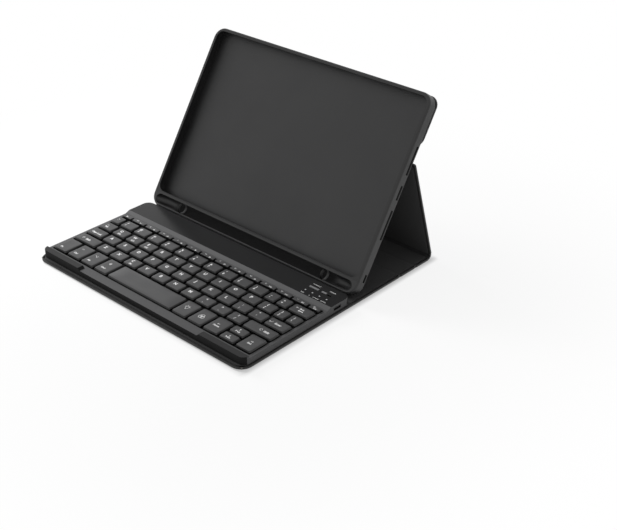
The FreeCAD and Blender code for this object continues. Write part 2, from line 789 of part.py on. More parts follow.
WELL = ("-key_zone / 2 - well_clear", "%s + key_front - well_clear" % FRONT)
WELL_LONG = "key_zone + 2 * well_clear"
WELL_DEEP = "key_rear - key_front + 2 * well_clear"
DECK_FRONT = "(%s + deck_front)" % FRONT
DECK_REAR = "(%s + deck_rear)" % FRONT
INNER_WIDE = "(deck_width - 2 * deck_wall)"
INNER_FRONT = "(%s + deck_wall)" % DECK_FRONT
INNER_DEEP = "(deck_rear - deck_front - 2 * deck_wall)"
BAY_FRONT = "(%s + bevel_front)" % FRONT
BAY_DEEP = "(deck_rear - deck_wall - bevel_front)"
CONTROL_Y = "(%s + control_place - control_deep / 2)" % FRONT
SCREW_ROWS = (
    "(%s + deck_wall + boss_radius + screw_clear)" % DECK_FRONT,
    "(%s - deck_wall - boss_radius - screw_clear)" % DECK_REAR,
)
SCREW_COLUMNS = ("-screw_side", "0", "screw_side")
SCREWS = [(x, y) for y in SCREW_ROWS for x in SCREW_COLUMNS]
LENSES = [("(lens_first + %d * lens_pitch)" % n, "(%s + lens_place)" % FRONT) for n in range(4)]
CIRCUIT_LEFT = "(deck_width / 2 - deck_wall - plate_clear - board_long)"
CIRCUIT_TOP = "(%s + circuit_thick)" % PLATE_TOP
SOCKET_LEFT = "(deck_width / 2 - socket_long)"
SOCKET_Y = "(%s + socket_place - socket_wide / 2)" % FRONT


def soft_rim(thing):
    """Round the deck's outer top edges, so that a line of light runs along them."""
    doc.recompute()
    half_wide, rear = size("deck_width") / 2, FRONT_Y + size("deck_rear")
    front, top = FRONT_Y + size("deck_front"), size("deck_height") + 2 * HALF + size("deck_clear")

    def outer(edge):
        low, high = edge.Vertexes[0].Point, edge.Vertexes[-1].Point
        upright = abs(low.x - high.x) + abs(low.y - high.y) < 1e-6
        sides = [
            all(abs(abs(point.x) - half_wide) < 1e-3 for point in (low, high)),
            all(abs(point.y - front) < 1e-3 for point in (low, high)),
            all(abs(point.y - rear) < 1e-3 for point in (low, high)),
            edge.Curve.TypeId == "Part::GeomCircle",
        ]
        return edge.BoundBox.ZMin > top - 1e-3 and not upright and any(sides)

    rim = doc.addObject("Part::Fillet", "rim")
    rim.Base = thing
    edge = size("deck_edge")
    rim.Edges = [(n, edge, edge) for n, side in enumerate(thing.Shape.Edges, start=1) if outer(side)]
    return rim


def keyboard_deck():
    """The keyboard's upper half: key well, raised rear plateau, front corner blocks, screw bosses."""
    deck_deep = "deck_rear - deck_front"
    slab = box("-deck_width / 2", DECK_FRONT, KEYBOARD_Z, "deck_width", deck_deep, "deck_height")
    full = ("-deck_width / 2", "deck_width / 2")
    plateau_y = ("%s + plateau_front" % FRONT, DECK_REAR)
    plateau = taper(full, (BAY_FRONT, DECK_REAR), DECK_TOP, "plateau_rise", top_y=plateau_y)
    block_y = (DECK_FRONT, "%s + block_deep" % DECK_FRONT)
    left = taper(
        ("-deck_width / 2", "-deck_width / 2 + block_long"),
        block_y,
        DECK_TOP,
        "plateau_rise",
        ("-deck_width / 2", "-deck_width / 2 + block_long - block_ramp"),
    )
    right = taper(
        ("deck_width / 2 - block_long", "deck_width / 2"),
        block_y,
        DECK_TOP,
        "plateau_rise",
        ("deck_width / 2 - block_long + block_ramp", "deck_width / 2"),
    )
    outside = fuse(slab, plateau, left, right)
    doc.recompute()
    corner_x = size("deck_width") / 2 - 1e-3
    front_y, rear_y = FRONT_Y + size("deck_front"), FRONT_Y + size("deck_rear")

    def at_corner(point):
        return abs(point.x) > corner_x and min(abs(point.y - front_y), abs(point.y - rear_y)) < 1e-3

    outside = soft_rim(rounded_corners(outside, size("deck_radius"), at_corner))
    hollow_tall = "deck_height - deck_top_thick"
    hollow = box("-%s / 2" % INNER_WIDE, INNER_FRONT, KEYBOARD_Z, INNER_WIDE, INNER_DEEP, hollow_tall)
    bay = box(
        "-%s / 2" % INNER_WIDE,
        "%s + deck_top_thick + plateau_rise" % BAY_FRONT,
        KEYBOARD_Z,
        INNER_WIDE,
        "%s - deck_top_thick - plateau_rise" % BAY_DEEP,
        "deck_height + plateau_rise - deck_top_thick",
    )
    through = "deck_height + plateau_rise"
    well = box(*WELL, KEYBOARD_Z, WELL_LONG, WELL_DEEP, through)
    tools = [hollow, bay, well]
    for x, y in LENSES:
        tools.append(post(x, y, KEYBOARD_Z, "lens_radius + control_clear / 3", through))
    for left_end in ("button_left", "slider_left"):
        tools.append(box(left_end, CONTROL_Y, KEYBOARD_Z, "control_long", "control_deep", through))
    tools.append(
        box(
            "%s - socket_clear" % SOCKET_LEFT,
            "%s - socket_clear" % SOCKET_Y,
            CIRCUIT_TOP,
            "socket_long + 2 * socket_clear",
            "socket_wide + 2 * socket_clear",
            "socket_tall + socket_clear",
        )
    )
    shell = cut(outside, *tools)
    bosses = []
    for number, (x, y) in enumerate(SCREWS):
        rise = "0" if number < len(SCREW_COLUMNS) else "plateau_rise"
        tall = "%s - deck_top_thick + %s - %s" % (DECK_TOP, rise, PLATE_TOP)
        bosses.append(post(x, y, PLATE_TOP, "boss_radius", tall))
    pilots = [post(x, y, PLATE_TOP, "screw_radius + screw_clear", "screw_long") for x, y in SCREWS]
    return cut(fuse(shell, *bosses), *pilots)


sub_part("keyboard_deck", keyboard_deck())


def bottom_plate():
    """The plate that closes the keyboard from below, counterbored for the screw heads."""
    plate = box(
        "-%s / 2 + plate_clear" % INNER_WIDE,
        "%s + plate_clear" % INNER_FRONT,
        KEYBOARD_Z,
        "%s - 2 * plate_clear" % INNER_WIDE,
        "%s - 2 * plate_clear" % INNER_DEEP,
        "plate_thick",
    )
    holes = []
    for x, y in SCREWS:
        holes.append(post(x, y, KEYBOARD_Z, "screw_radius + screw_clear", "plate_thick"))
        holes.append(post(x, y, KEYBOARD_Z, "screw_head + screw_clear", "screw_head_thick"))
    return cut(plate, *holes)


sub_part("bottom_plate", bottom_plate())

screws = []
for x, y in SCREWS:
    head = post(x, y, KEYBOARD_Z, "screw_head", "screw_head_thick")
    shank = post(x, y, KEYBOARD_Z, "screw_radius", "plate_thick + screw_long")
    screws.append(fuse(head, shank))
sub_part("case_screws", group(*screws))

SHEET_ORIGIN = (WELL[0], WELL[1])
membrane = box(*SHEET_ORIGIN, PLATE_TOP, WELL_LONG, WELL_DEEP, "membrane_thick")
sub_part("membrane", membrane)
guide = box(*SHEET_ORIGIN, MEMBRANE_TOP, WELL_LONG, WELL_DEEP, "guide_thick")
sub_part("key_guide_plate", cut(guide, *guide_holes))

palm_magnets = [
    box(
        "%s * magnet_place - magnet_long / 2" % side,
        "%s + %s" % (FRONT, PALM_LINE),
        PLATE_TOP,
        "magnet_long",
        "magnet_deep",
        "magnet_thick",
    )
    for side in ("-1", "1")
]
sub_part("keyboard_magnets", group(*palm_magnets))

BAY_INNER = "(%s + deck_top_thick + plateau_rise + plate_clear)" % BAY_FRONT
# The battery lies between the left and the middle rear screw bosses.
BATTERY_LONG = "(screw_side - 2 * boss_radius - 2 * battery_space)"
battery = box(
    "-boss_radius - battery_space - %s" % BATTERY_LONG,
    BAY_INNER,
    PLATE_TOP,
    BATTERY_LONG,
    "battery_deep",
    "battery_thick",
)
sub_part("battery", battery)

# The circuit board stops short of the rear screw boss.
CIRCUIT_DEEP = "(%s - boss_radius - 2 * plate_clear - %s)" % (SCREW_ROWS[1], BAY_INNER)
circuit = box(CIRCUIT_LEFT, BAY_INNER, PLATE_TOP, "board_long", CIRCUIT_DEEP, "circuit_thick")
sub_part("circuit_board", circuit)

radio = box(
    "%s + plate_clear" % CIRCUIT_LEFT,
    "%s + plate_clear" % BAY_INNER,
    CIRCUIT_TOP,
    "lens_first - lens_radius - 2 * control_clear - %s - plate_clear" % CIRCUIT_LEFT,
    "%s / 2" % CIRCUIT_DEEP,
    "chip_thick",
)
sub_part("radio_chip", radio)

socket_shell = box(SOCKET_LEFT, SOCKET_Y, CIRCUIT_TOP, "socket_long", "socket_wide", "socket_tall")
socket_mouth = box(
    "%s + socket_wall" % SOCKET_LEFT,
    "%s + socket_wall" % SOCKET_Y,
    "%s + socket_wall" % CIRCUIT_TOP,
    "socket_long",
    "socket_wide - 2 * socket_wall",
    "socket_tall - 2 * socket_wall",
)
sub_part("charging_socket", cut(socket_shell, socket_mouth))
tongue = box(
    "%s + socket_wall" % SOCKET_LEFT,
    "%s + 3 * socket_wall" % SOCKET_Y,
    "%s + socket_tall / 2 - socket_wall" % CIRCUIT_TOP,
    "socket_long - 4 * socket_wall",
    "socket_wide - 6 * socket_wall",
    "2 * socket_wall",
)
sub_part("socket_tongue", tongue)

led_chips = [
    box(
        "%s - lens_radius" % x,
        "%s - lens_radius" % y,
        CIRCUIT_TOP,
        "2 * lens_radius",
        "2 * lens_radius",
        "chip_thick",
    )
    for x, y in LENSES
]
sub_part("indicator_lights", group(*led_chips))
LENS_LOW = "(%s + chip_thick)" % CIRCUIT_TOP
lenses = [post(x, y, LENS_LOW, "lens_radius", "%s - %s" % (PLATEAU_TOP, LENS_LOW)) for x, y in LENSES]
sub_part("indicator_lenses", group(*lenses))

SWITCH_TOP = "(%s + switch_height)" % CIRCUIT_TOP
switch_tall = "switch_height - button_travel"
for node, left in (("connect_switch", "button_left"), ("power_switch", "slider_left")):
    sub_part(node, box(left, CONTROL_Y, CIRCUIT_TOP, "control_long", "control_deep", switch_tall))

CONTROL_TALL = "%s + control_rise - %s" % (PLATEAU_TOP, SWITCH_TOP)
CONTROL_THIN = "control_deep - 2 * control_clear"
button = box(
    "button_left + control_clear",
    "%s + control_clear" % CONTROL_Y,
    SWITCH_TOP,
    "control_long - 2 * control_clear",
    CONTROL_THIN,
    CONTROL_TALL,
)
sub_part("connect_button", button)
slider = box(
    "slider_left + control_clear",
    "%s + control_clear" % CONTROL_Y,
    "%s - button_travel + deck_clear" % SWITCH_TOP,
    "slider_long - control_clear",
    CONTROL_THIN,
    "%s + button_travel - deck_clear" % CONTROL_TALL,
)
sub_part("power_slider", slider)


# Check every object, then write one file for each piece

doc.recompute()
for thing in doc.Objects:
    if "Invalid" in thing.State or "Error" in thing.State:
        raise RuntimeError("failed: %s %s" % (thing.Label, thing.State))
os.makedirs("parts", exist_ok=True)
for node, thing in PARTS:
    shape = thing.Shape
    if shape.isNull() or not shape.isValid() or not shape.Solids:
        raise RuntimeError("bad shape: " + node)
    shape.exportStep("parts/%s.step" % node)
print(len(PARTS), "pieces")
print("folds", fold_one, fold_two, fold_three)
print("foot", foot, "lean", math.degrees(LEAN), "stand", math.degrees(STAND_ANGLE))
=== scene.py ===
# %% [markdown]
# # A tablet keyboard case
#
# The case is a leather folio that stands open on a desk: a keyboard lies on the front cover, a soft tray
# leans behind it, and a stand panel props the tray up from the back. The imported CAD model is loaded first
# and stays where it is. Hard pieces keep their CAD shape and get a finish here; soft pieces (leather, lining,
# folds), the moulded key caps and the trough's hoops are built again with the detail that CAD leaves out.

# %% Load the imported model
import json
import math

import bmesh
import bpy
from mathutils import Matrix, Vector


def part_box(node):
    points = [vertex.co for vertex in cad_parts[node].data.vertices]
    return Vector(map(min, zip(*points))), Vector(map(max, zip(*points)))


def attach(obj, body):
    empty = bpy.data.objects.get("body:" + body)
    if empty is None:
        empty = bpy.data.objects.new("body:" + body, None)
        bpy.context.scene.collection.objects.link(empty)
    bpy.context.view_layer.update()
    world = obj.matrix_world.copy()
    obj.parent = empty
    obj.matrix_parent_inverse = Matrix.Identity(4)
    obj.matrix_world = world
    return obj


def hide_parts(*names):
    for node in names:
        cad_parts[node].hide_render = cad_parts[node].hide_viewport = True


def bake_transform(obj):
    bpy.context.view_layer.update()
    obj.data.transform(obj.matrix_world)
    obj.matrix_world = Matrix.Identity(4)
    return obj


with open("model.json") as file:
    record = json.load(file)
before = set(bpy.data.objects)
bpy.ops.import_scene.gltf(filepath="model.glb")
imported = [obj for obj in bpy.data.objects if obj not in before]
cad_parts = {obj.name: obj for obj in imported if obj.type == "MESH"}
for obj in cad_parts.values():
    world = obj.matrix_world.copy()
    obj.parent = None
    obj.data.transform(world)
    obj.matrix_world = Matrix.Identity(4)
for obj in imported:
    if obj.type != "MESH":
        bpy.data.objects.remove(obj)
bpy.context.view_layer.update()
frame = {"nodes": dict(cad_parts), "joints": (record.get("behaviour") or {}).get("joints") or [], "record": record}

MM = 0.001
scene = bpy.context.scene
scene.view_settings.view_transform = "Standard"
nodes_of_part = frame["nodes"]

# %% [markdown]
# ## Camera
#
# The photograph looks down at the case from its front right corner with a short telephoto lens. The
# numbers come from lining up the edges of the keyboard and the tray: how far round, how far up, how far
# away, and the point that falls on the middle of the picture.

# %% Camera
ROUND, UP, AWAY = math.radians(42.54), math.radians(30.27), 0.93312
LOOK_AT = Vector((0.12614, -0.01536, 0.060))
SENSOR, LENS = 36.0, 68.64

camera_data = bpy.data.cameras.new("camera")
camera_data.sensor_width = SENSOR
camera_data.lens = LENS
camera = bpy.data.objects.new("camera", camera_data)
scene.collection.objects.link(camera)
sight = Vector((math.cos(UP) * math.sin(ROUND), -math.cos(UP) * math.cos(ROUND), math.sin(UP)))
camera.location = LOOK_AT + AWAY * sight
camera.rotation_euler = (-sight).to_track_quat("-Z", "Y").to_euler()
scene.camera = camera
print("camera at", [round(v, 3) for v in camera.location])

# %% [markdown]
# ## Node helpers
#
# Every finish below is a small tree of nodes. A few helpers keep them readable: one adds a node and sets its
# values and links in one go, one adds a Math node, one starts a material and one starts a node group. Each
# material reads Object coordinates, which are metres in the same frame as the CAD because every object sits
# at the origin.

# %% Node helpers
def add(tree, kind, links=None, **values):
    """Add a node. links maps an input's name or number to a value or to another node's output."""
    node = tree.nodes.new(kind)
    for name, value in values.items():
        setattr(node, name, value)
    for name, value in (links or {}).items():
        if isinstance(value, bpy.types.NodeSocket):
            tree.links.new(value, node.inputs[name])
        else:
            node.inputs[name].default_value = value
    return node


def calc(tree, operation, *values):
    """One Math node."""
    return add(tree, "ShaderNodeMath", dict(enumerate(values)), operation=operation).outputs[0]


def parts_of(material):
    """A material's tree, its Principled shader and its Object coordinates."""
    tree = material.node_tree
    shader = next(n for n in tree.nodes if n.type == "BSDF_PRINCIPLED")
    place = next(n for n in tree.nodes if n.type == "TEX_COORD").outputs["Object"]
    return tree, shader, place


def new_material(name, colour, roughness, **settings):
    """A material with a Principled shader, set to plain values to start from."""
    material = bpy.data.materials.new(name)
    material.use_nodes = True
    material.diffuse_color = (*colour, 1.0)
    add(material.node_tree, "ShaderNodeTexCoord")
    tree, shader, place = parts_of(material)
    shader.inputs["Base Color"].default_value = (*colour, 1.0)
    shader.inputs["Roughness"].default_value = roughness
    for socket, value in settings.items():
        shader.inputs[socket.replace("_", " ")].default_value = value
    return material, tree, shader, place


def new_group(name, inputs, outputs):
    """A shader node group with float inputs, each with its default, and named outputs."""
    group = bpy.data.node_groups.new(name, "ShaderNodeTree")
    group.interface.new_socket("Vector", in_out="INPUT", socket_type="NodeSocketVector")
    for label, value in inputs.items():
        socket = group.interface.new_socket(label, in_out="INPUT", socket_type="NodeSocketFloat")
        socket.default_value = value
    for label in outputs:
        group.interface.new_socket(label, in_out="OUTPUT", socket_type="NodeSocketFloat")
    entry = add(group, "NodeGroupInput")
    leave = add(group, "NodeGroupOutput")
    return group, entry, leave


print("node helpers: a node, a Math node, a material, a group")

# %% [markdown]
# ## Shared surface effects
#
# Three effects come back on most of the case. Leather and soft plastic have a pebbled grain: cells that
# meet in fine valleys. Moulded plastic has a fine sparkle of bumps left by the etched mould. And every
# surface that hands touch is polished a little unevenly. Each effect is one group, placed in each material
# with its own sizes.

# %% Shared surface effects
def pebbled_grain():
    """Soft swells cut up by the valleys between many small cells."""
    group, entry, leave = new_group("pebbled grain", {"Cells": 1200.0, "Valleys": 0.6}, ["Height", "Valley"])
    place = entry.outputs["Vector"]
    soft = add(group, "ShaderNodeTexNoise", {"Vector": place, "Scale": 260.0, "Detail": 3.0})
    cells = add(
        group, "ShaderNodeTexVoronoi", {"Vector": place, "Scale": entry.outputs["Cells"]},
        feature="DISTANCE_TO_EDGE",
    )
    valley = add(
        group, "ShaderNodeMapRange",
        {"Value": cells.outputs["Distance"], "From Min": 0.0, "From Max": 0.22, "To Min": 1.0, "To Max": 0.0},
    )
    cut = calc(group, "MULTIPLY", valley.outputs[0], entry.outputs["Valleys"])
    height = calc(group, "SUBTRACT", calc(group, "MULTIPLY", soft.outputs[0], 0.5), cut)
    group.links.new(height, leave.inputs["Height"])
    group.links.new(valley.outputs[0], leave.inputs["Valley"])
    return group


def etched_mould():
    """A fine even noise of bumps."""
    group, entry, leave = new_group("etched mould", {"Grains": 2600.0}, ["Height"])
    fine = add(
        group, "ShaderNodeTexNoise",
        {"Vector": entry.outputs["Vector"], "Scale": entry.outputs["Grains"], "Detail": 2.0},
    )
    group.links.new(fine.outputs[0], leave.inputs["Height"])
    return group


def hand_polish():
    """Broad patches, each with its own roughness between two limits."""
    sizes = {"Patches": 22.0, "Low": 0.4, "High": 0.5}
    group, entry, leave = new_group("hand polish", sizes, ["Roughness", "Patch"])
    given = entry.outputs
    broad = add(
        group, "ShaderNodeTexNoise",
        {"Vector": given["Vector"], "Scale": given["Patches"], "Detail": 4.0, "Roughness": 0.6},
    )
    gloss = add(
        group, "ShaderNodeMapRange",
        {"Value": broad.outputs[0], "From Min": 0.3, "From Max": 0.7,
         "To Min": given["Low"], "To Max": given["High"]},
    )
    group.links.new(gloss.outputs[0], leave.inputs["Roughness"])
    group.links.new(broad.outputs[0], leave.inputs["Patch"])
    return group


GRAIN, ETCH, POLISH = pebbled_grain(), etched_mould(), hand_polish()


def place_group(tree, group, place, **values):
    """Put a shared effect in a material with its own values."""
    node = add(tree, "ShaderNodeGroup", node_tree=group)
    tree.links.new(place, node.inputs["Vector"])
    for label, value in values.items():
        node.inputs[label].default_value = value
    return node


def two_tones(tree, shader, mask, low, high):
    """Base colour between two tones, by a mask from 0 to 1."""
    mix = add(tree, "ShaderNodeMix", {"Factor": mask}, data_type="RGBA")
    for socket, tone in ((mix.inputs[6], low), (mix.inputs[7], high)):
        socket.default_value = (*tone, 1.0)
    tree.links.new(mix.outputs[2], shader.inputs["Base Color"])


def bumps(tree, shader, height, reach):
    """Bump from a height map; reach is the height of its highest point in metres."""
    bump = add(tree, "ShaderNodeBump", {"Height": height, "Distance": reach, "Strength": 1.0})
    tree.links.new(bump.outputs[0], shader.inputs["Normal"])


print("shared effects:", GRAIN.name, ETCH.name, POLISH.name)

# %% [markdown]
# ## Finishes
#
# The case is almost all black, so its pieces differ by gloss and grain more than by colour. Leather is
# pebbled with a soft shine, the lining is a matt microfibre with a faint sheen, the tray is a silky rubbery
# plastic, the keyboard is etched hard plastic and its caps are a touch smoother and lighter.

# %% Finishes of the folio
def grained(name, low, high, cells, reach, gloss):
    """Pebbled leather or rubbery plastic: tone, roughness and bump all from the grain."""
    material, tree, shader, place = new_material(name, low, gloss[1])
    grain = place_group(tree, GRAIN, place, Cells=cells)
    polish = place_group(tree, POLISH, place, Low=gloss[0], High=gloss[1])
    two_tones(tree, shader, grain.outputs["Valley"], high, low)
    tree.links.new(polish.outputs["Roughness"], shader.inputs["Roughness"])
    bumps(tree, shader, grain.outputs["Height"], reach)
    return material


def suede_lining():
    """Microfibre: a fine directionless nap with broad brushed patches."""
    material, tree, shader, place = new_material("suede lining", (0.01, 0.01, 0.0102), 0.9)
    shader.inputs["Sheen Weight"].default_value = 0.12
    shader.inputs["Sheen Roughness"].default_value = 0.5
    nap = add(tree, "ShaderNodeTexNoise", {"Vector": place, "Scale": 2400.0, "Detail": 4.0})
    brushed = place_group(tree, POLISH, place, Patches=30.0, Low=0.82, High=0.95)
    two_tones(tree, shader, brushed.outputs["Patch"], (0.024, 0.024, 0.0243), (0.036, 0.036, 0.0364))
    tree.links.new(brushed.outputs["Roughness"], shader.inputs["Roughness"])
    bumps(tree, shader, nap.outputs[0], 0.00008)
    return material


LEATHER = grained(
    "black leather", (0.008, 0.008, 0.008), (0.014, 0.0137, 0.0135),
    cells=1300.0, reach=0.00006, gloss=(0.42, 0.55),
)
LINING = suede_lining()
print("folio finishes:", LEATHER.name, LINING.name)

# %% [markdown]
# The tray and the keyboard's deck carry painted light and shade: some walls are painted black for the
# shade that falls on them, some edges painted pale for the light they catch. Separate materials would need
# the CAD meshes cut into faces, and those meshes stay as they are. So one material carries several tones:
# masks worked out from the coordinates say where each painted tone lies, and the tones are laid over the
# plain finish one after the other.

# %% Bands of tone
def spread(tree, value, start, end):
    """A soft step: 0 at the start and 1 at the end."""
    ramp = {"Value": value, "From Min": start, "From Max": end}
    return add(tree, "ShaderNodeMapRange", ramp, interpolation_type="SMOOTHSTEP").outputs[0]


def inside(tree, spot, low, high):
    """1 within a box of the given corners in millimetres, 0 outside it."""
    mask = 1.0
    for value, least, most in zip(spot, low, high):
        off = calc(tree, "ABSOLUTE", calc(tree, "SUBTRACT", value, (least + most) / 2 * MM))
        mask = calc(tree, "MULTIPLY", mask, calc(tree, "LESS_THAN", off, (most - least) / 2 * MM))
    return mask


def repaint(tree, shader, bands):
    """Lay bands of another tone over the base colour, one after the other: (mask, tone)."""
    colour = shader.inputs["Base Color"].links[0].from_socket
    for mask, tone in bands:
        mix = add(tree, "ShaderNodeMix", {0: mask, 6: colour, 7: (*tone, 1.0)}, data_type="RGBA")
        colour = mix.outputs[2]
    tree.links.new(colour, shader.inputs["Base Color"])


def regloss(tree, shader, bands):
    """Lay bands of another roughness over the surface, one after the other: (mask, roughness)."""
    rough = shader.inputs["Roughness"].links[0].from_socket
    for mask, value in bands:
        rough = add(tree, "ShaderNodeMix", {0: mask, 2: rough, 3: value}).outputs[0]
    tree.links.new(rough, shader.inputs["Roughness"])


print("band helpers: a soft step, a box, tones and gloss laid over")

# %% [markdown]
# The tray is a soft black moulding that leans back. Its trough and openings are painted black inside as
# shade, its lip is painted darker as shade, and the rim below the trough is painted paler as a highlight.
# Those places are easiest to name in the tray's own frame: x along it, s up its back from the foot and z out
# of its back towards the front. One matrix, set on the joint that the tray tilts about, carries that frame
# to the desk, and a Mapping node undoes it.

# %% The tray's frame and finish
def frame_mm(values):
    """Metres from the frame as millimetres."""
    return [round(value / MM, 3) for value in values]


PIVOT = {joint["name"]: frame_mm(joint["pos_m"]) for joint in frame["joints"] if "pos_m" in joint}
LEAN = math.radians(57.0)
ROD_INSET = 1.9
TRAY = (
    Matrix.Translation(Vector(PIVOT["tray_tilt"]) * MM)
    @ Matrix.Rotation(LEAN, 4, "X")
    @ Matrix.Translation((0, -ROD_INSET * MM, -ROD_INSET * MM))
)
# Places in the tray's frame, in millimetres, for its painted shade and highlight. Where there are two, a tone
# fades from the first to the second.
TROUGH_S, TROUGH_Z, TROUGH_ROUND = 7.0, 6.3, 5.0
WALL_SKIN = 0.1
# The trough's painted shade fades out towards its ends, the rim's painted highlight lies low on the back, and the
# lip's painted shade lies high and far out.
TROUGH_SHADE_ENDS = (106.0, 97.0)
RIM_HIGHLIGHT_S = (3.0, 2.5)
LIP_SHADE_S, LIP_SHADE_Z = 13.4, (9.9, 10.3)
# The openings in the right wall, painted black inside as shade: how far they reach in x, in z, and each
# one in s.
SLOT_X, SLOT_Z = (127.4, 130.0), (2.2, 5.0)
SIDE_SLOTS = ((13.9, 21.1), (52.9, 79.6), (88.9, 101.8), (111.4, 137.1))


def tray_plastic():
    """Soft plastic: painted shade in the trough, the openings and on the lip, and a painted highlight on the rim.
    """
    material = grained(
        "soft tray plastic", (0.011, 0.011, 0.0113), (0.015, 0.015, 0.0153),
        cells=3200.0, reach=0.00001, gloss=(0.4, 0.5),
    )
    tree, shader, place = parts_of(material)
    turned = add(
        tree, "ShaderNodeMapping",
        {"Vector": place, "Location": TRAY.translation, "Rotation": (LEAN, 0.0, 0.0)},
        vector_type="TEXTURE",
    )
    spot = add(tree, "ShaderNodeSeparateXYZ", {0: turned.outputs[0]}).outputs
    off = [calc(tree, "SUBTRACT", spot[n], mid * MM) for n, mid in ((1, TROUGH_S), (2, TROUGH_Z))]
    away = calc(tree, "SQRT", calc(tree, "ADD", *[calc(tree, "MULTIPLY", v, v) for v in off]))
    # Painted shade: inside the trough, fading out towards its ends, and inside each opening.
    deep = calc(tree, "LESS_THAN", away, (TROUGH_ROUND + WALL_SKIN) * MM)
    ends = spread(tree, calc(tree, "ABSOLUTE", spot[0]), *[x * MM for x in TROUGH_SHADE_ENDS])
    deep = calc(tree, "MULTIPLY", deep, ends)
    for low, high in SIDE_SLOTS:
        slot = inside(tree, spot, (SLOT_X[0], low, SLOT_Z[0]), (SLOT_X[1], high, SLOT_Z[1]))
        deep = calc(tree, "MAXIMUM", deep, slot)
    rim = spread(tree, spot[1], *[s * MM for s in RIM_HIGHLIGHT_S])
    above = calc(tree, "GREATER_THAN", spot[1], LIP_SHADE_S * MM)
    lip = calc(tree, "MULTIPLY", spread(tree, spot[2], *[z * MM for z in LIP_SHADE_Z]), above)
    # Painted highlight on the rim, painted shade on the lip, painted black shade in the trough and the openings.
    pale, dark, black = (0.042, 0.042, 0.0424), (0.005, 0.005, 0.0051), (0.002, 0.002, 0.002)
    repaint(tree, shader, ((rim, pale), (lip, dark), (deep, black)))
    regloss(tree, shader, ((deep, 0.95),))
    return material


SOFT_TRAY = tray_plastic()
print("tray finish:", SOFT_TRAY.name, "with", len(SIDE_SLOTS), "openings")

# %% [markdown]
# Hard plastic gets the etched mould's sparkle. The deck has bands of its own: the front wall, the key well
# and the walls of the two front blocks are painted black as shade, the raised tops are dark and smooth, and
# the bevel behind the keys and the side walls are painted paler as light. The lower part of each key cap is
# painted darker than its top, because the skirt stays in the well's shade; the caps carry that painted shade
# as an attribute, so the tone follows their shape.

# %% Finishes of the keyboard
def moulded(name, low, high, gloss, **settings):
    """Etched hard plastic with uneven polish."""
    material, tree, shader, place = new_material(name, low, gloss[1], **settings)
    polish = place_group(tree, POLISH, place, Low=gloss[0], High=gloss[1])
    etch = place_group(tree, ETCH, place)
    two_tones(tree, shader, polish.outputs["Patch"], low, high)
    tree.links.new(polish.outputs["Roughness"], shader.inputs["Roughness"])
    bumps(tree, shader, etch.outputs["Height"], 0.000012)
    return material


# Where the deck's tones and its painted light and shade change, in millimetres: a little inside each wall
# and below the raised tops.
DECK_LOW, DECK_HIGH = [frame_mm(corner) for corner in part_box("keyboard_deck")]
FRONT_WALL = DECK_LOW[1] + 0.25
SIDE_WALL = DECK_HIGH[0] - 0.6
RAISED = DECK_HIGH[2] - 0.05
WALL_TOP = 7.4
BEVEL_Z = (7.9, 8.2)
BLOCK_END, BLOCK_DEEP = 74.9, 6.1


def deck_plastic():
    """Painted shade, black, low down; smooth dark raised tops; painted light, pale, on the bevel and side walls.
    """
    material = moulded(
        "deck plastic", (0.08, 0.08, 0.0815), (0.092, 0.092, 0.0937), (0.36, 0.46), Specular_IOR_Level=0.15
    )
    tree, shader, place = parts_of(material)
    x, y, z = add(tree, "ShaderNodeSeparateXYZ", {0: place}).outputs
    across = calc(tree, "ABSOLUTE", x)
    within = calc(tree, "LESS_THAN", across, SIDE_WALL * MM)
    side = calc(tree, "SUBTRACT", 1.0, within)
    front = calc(tree, "LESS_THAN", y, FRONT_WALL * MM)
    block = inside(
        tree, (across, y, z),
        (BLOCK_END, FRONT_WALL - 1.0, WALL_TOP - 0.1), (SIDE_WALL, FRONT_WALL + BLOCK_DEEP, RAISED - 0.1),
    )
    low = calc(tree, "MULTIPLY", within, calc(tree, "LESS_THAN", z, WALL_TOP * MM))
    low = calc(tree, "MAXIMUM", calc(tree, "MAXIMUM", low, front), block)
    high = calc(tree, "GREATER_THAN", z, RAISED * MM)
    behind = calc(tree, "GREATER_THAN", y, 0.0)
    bevel = calc(tree, "MULTIPLY", behind, spread(tree, z, *[level * MM for level in BEVEL_Z]))
    # Painted light on the side walls and bevel, painted shade low down; the raised tops' dark is their own.
    black, pale, dark = (0.008, 0.008, 0.008), (0.118, 0.118, 0.1195), (0.019, 0.019, 0.0194)
    repaint(tree, shader, ((side, pale), (bevel, pale), (high, dark), (low, black)))
    regloss(tree, shader, ((high, 0.2), (low, 0.7)))
    return material


def hoop_plastic():
    """A pale moulded rim, partly a painted highlight, and a bore, marked by an attribute, painted black as shade.
    """
    # The pale grey is partly a painted highlight on the rim.
    material = moulded(
        "hoop plastic", (0.12, 0.12, 0.12), (0.15, 0.15, 0.15), (0.4, 0.5), Specular_IOR_Level=0.25
    )
    tree, shader = parts_of(material)[:2]
    # The bore's black is painted shade.
    bore = add(tree, "ShaderNodeAttribute", attribute_name="bore").outputs["Fac"]
    repaint(tree, shader, ((bore, (0.002, 0.002, 0.002)),))
    return material


DECK, HOOP = deck_plastic(), hoop_plastic()
BLACK_PLASTIC = moulded("black plastic", (0.012, 0.012, 0.012), (0.018, 0.018, 0.018), (0.4, 0.55))
# The socket's shell is darkened nearly black: painted shade for the inside of the port.
SOCKET = moulded("socket shell", (0.03, 0.03, 0.031), (0.04, 0.04, 0.041), (0.3, 0.4), Metallic=0.6)
CONTROL = moulded("control plastic", (0.2, 0.2, 0.204), (0.25, 0.25, 0.255), (0.35, 0.45))


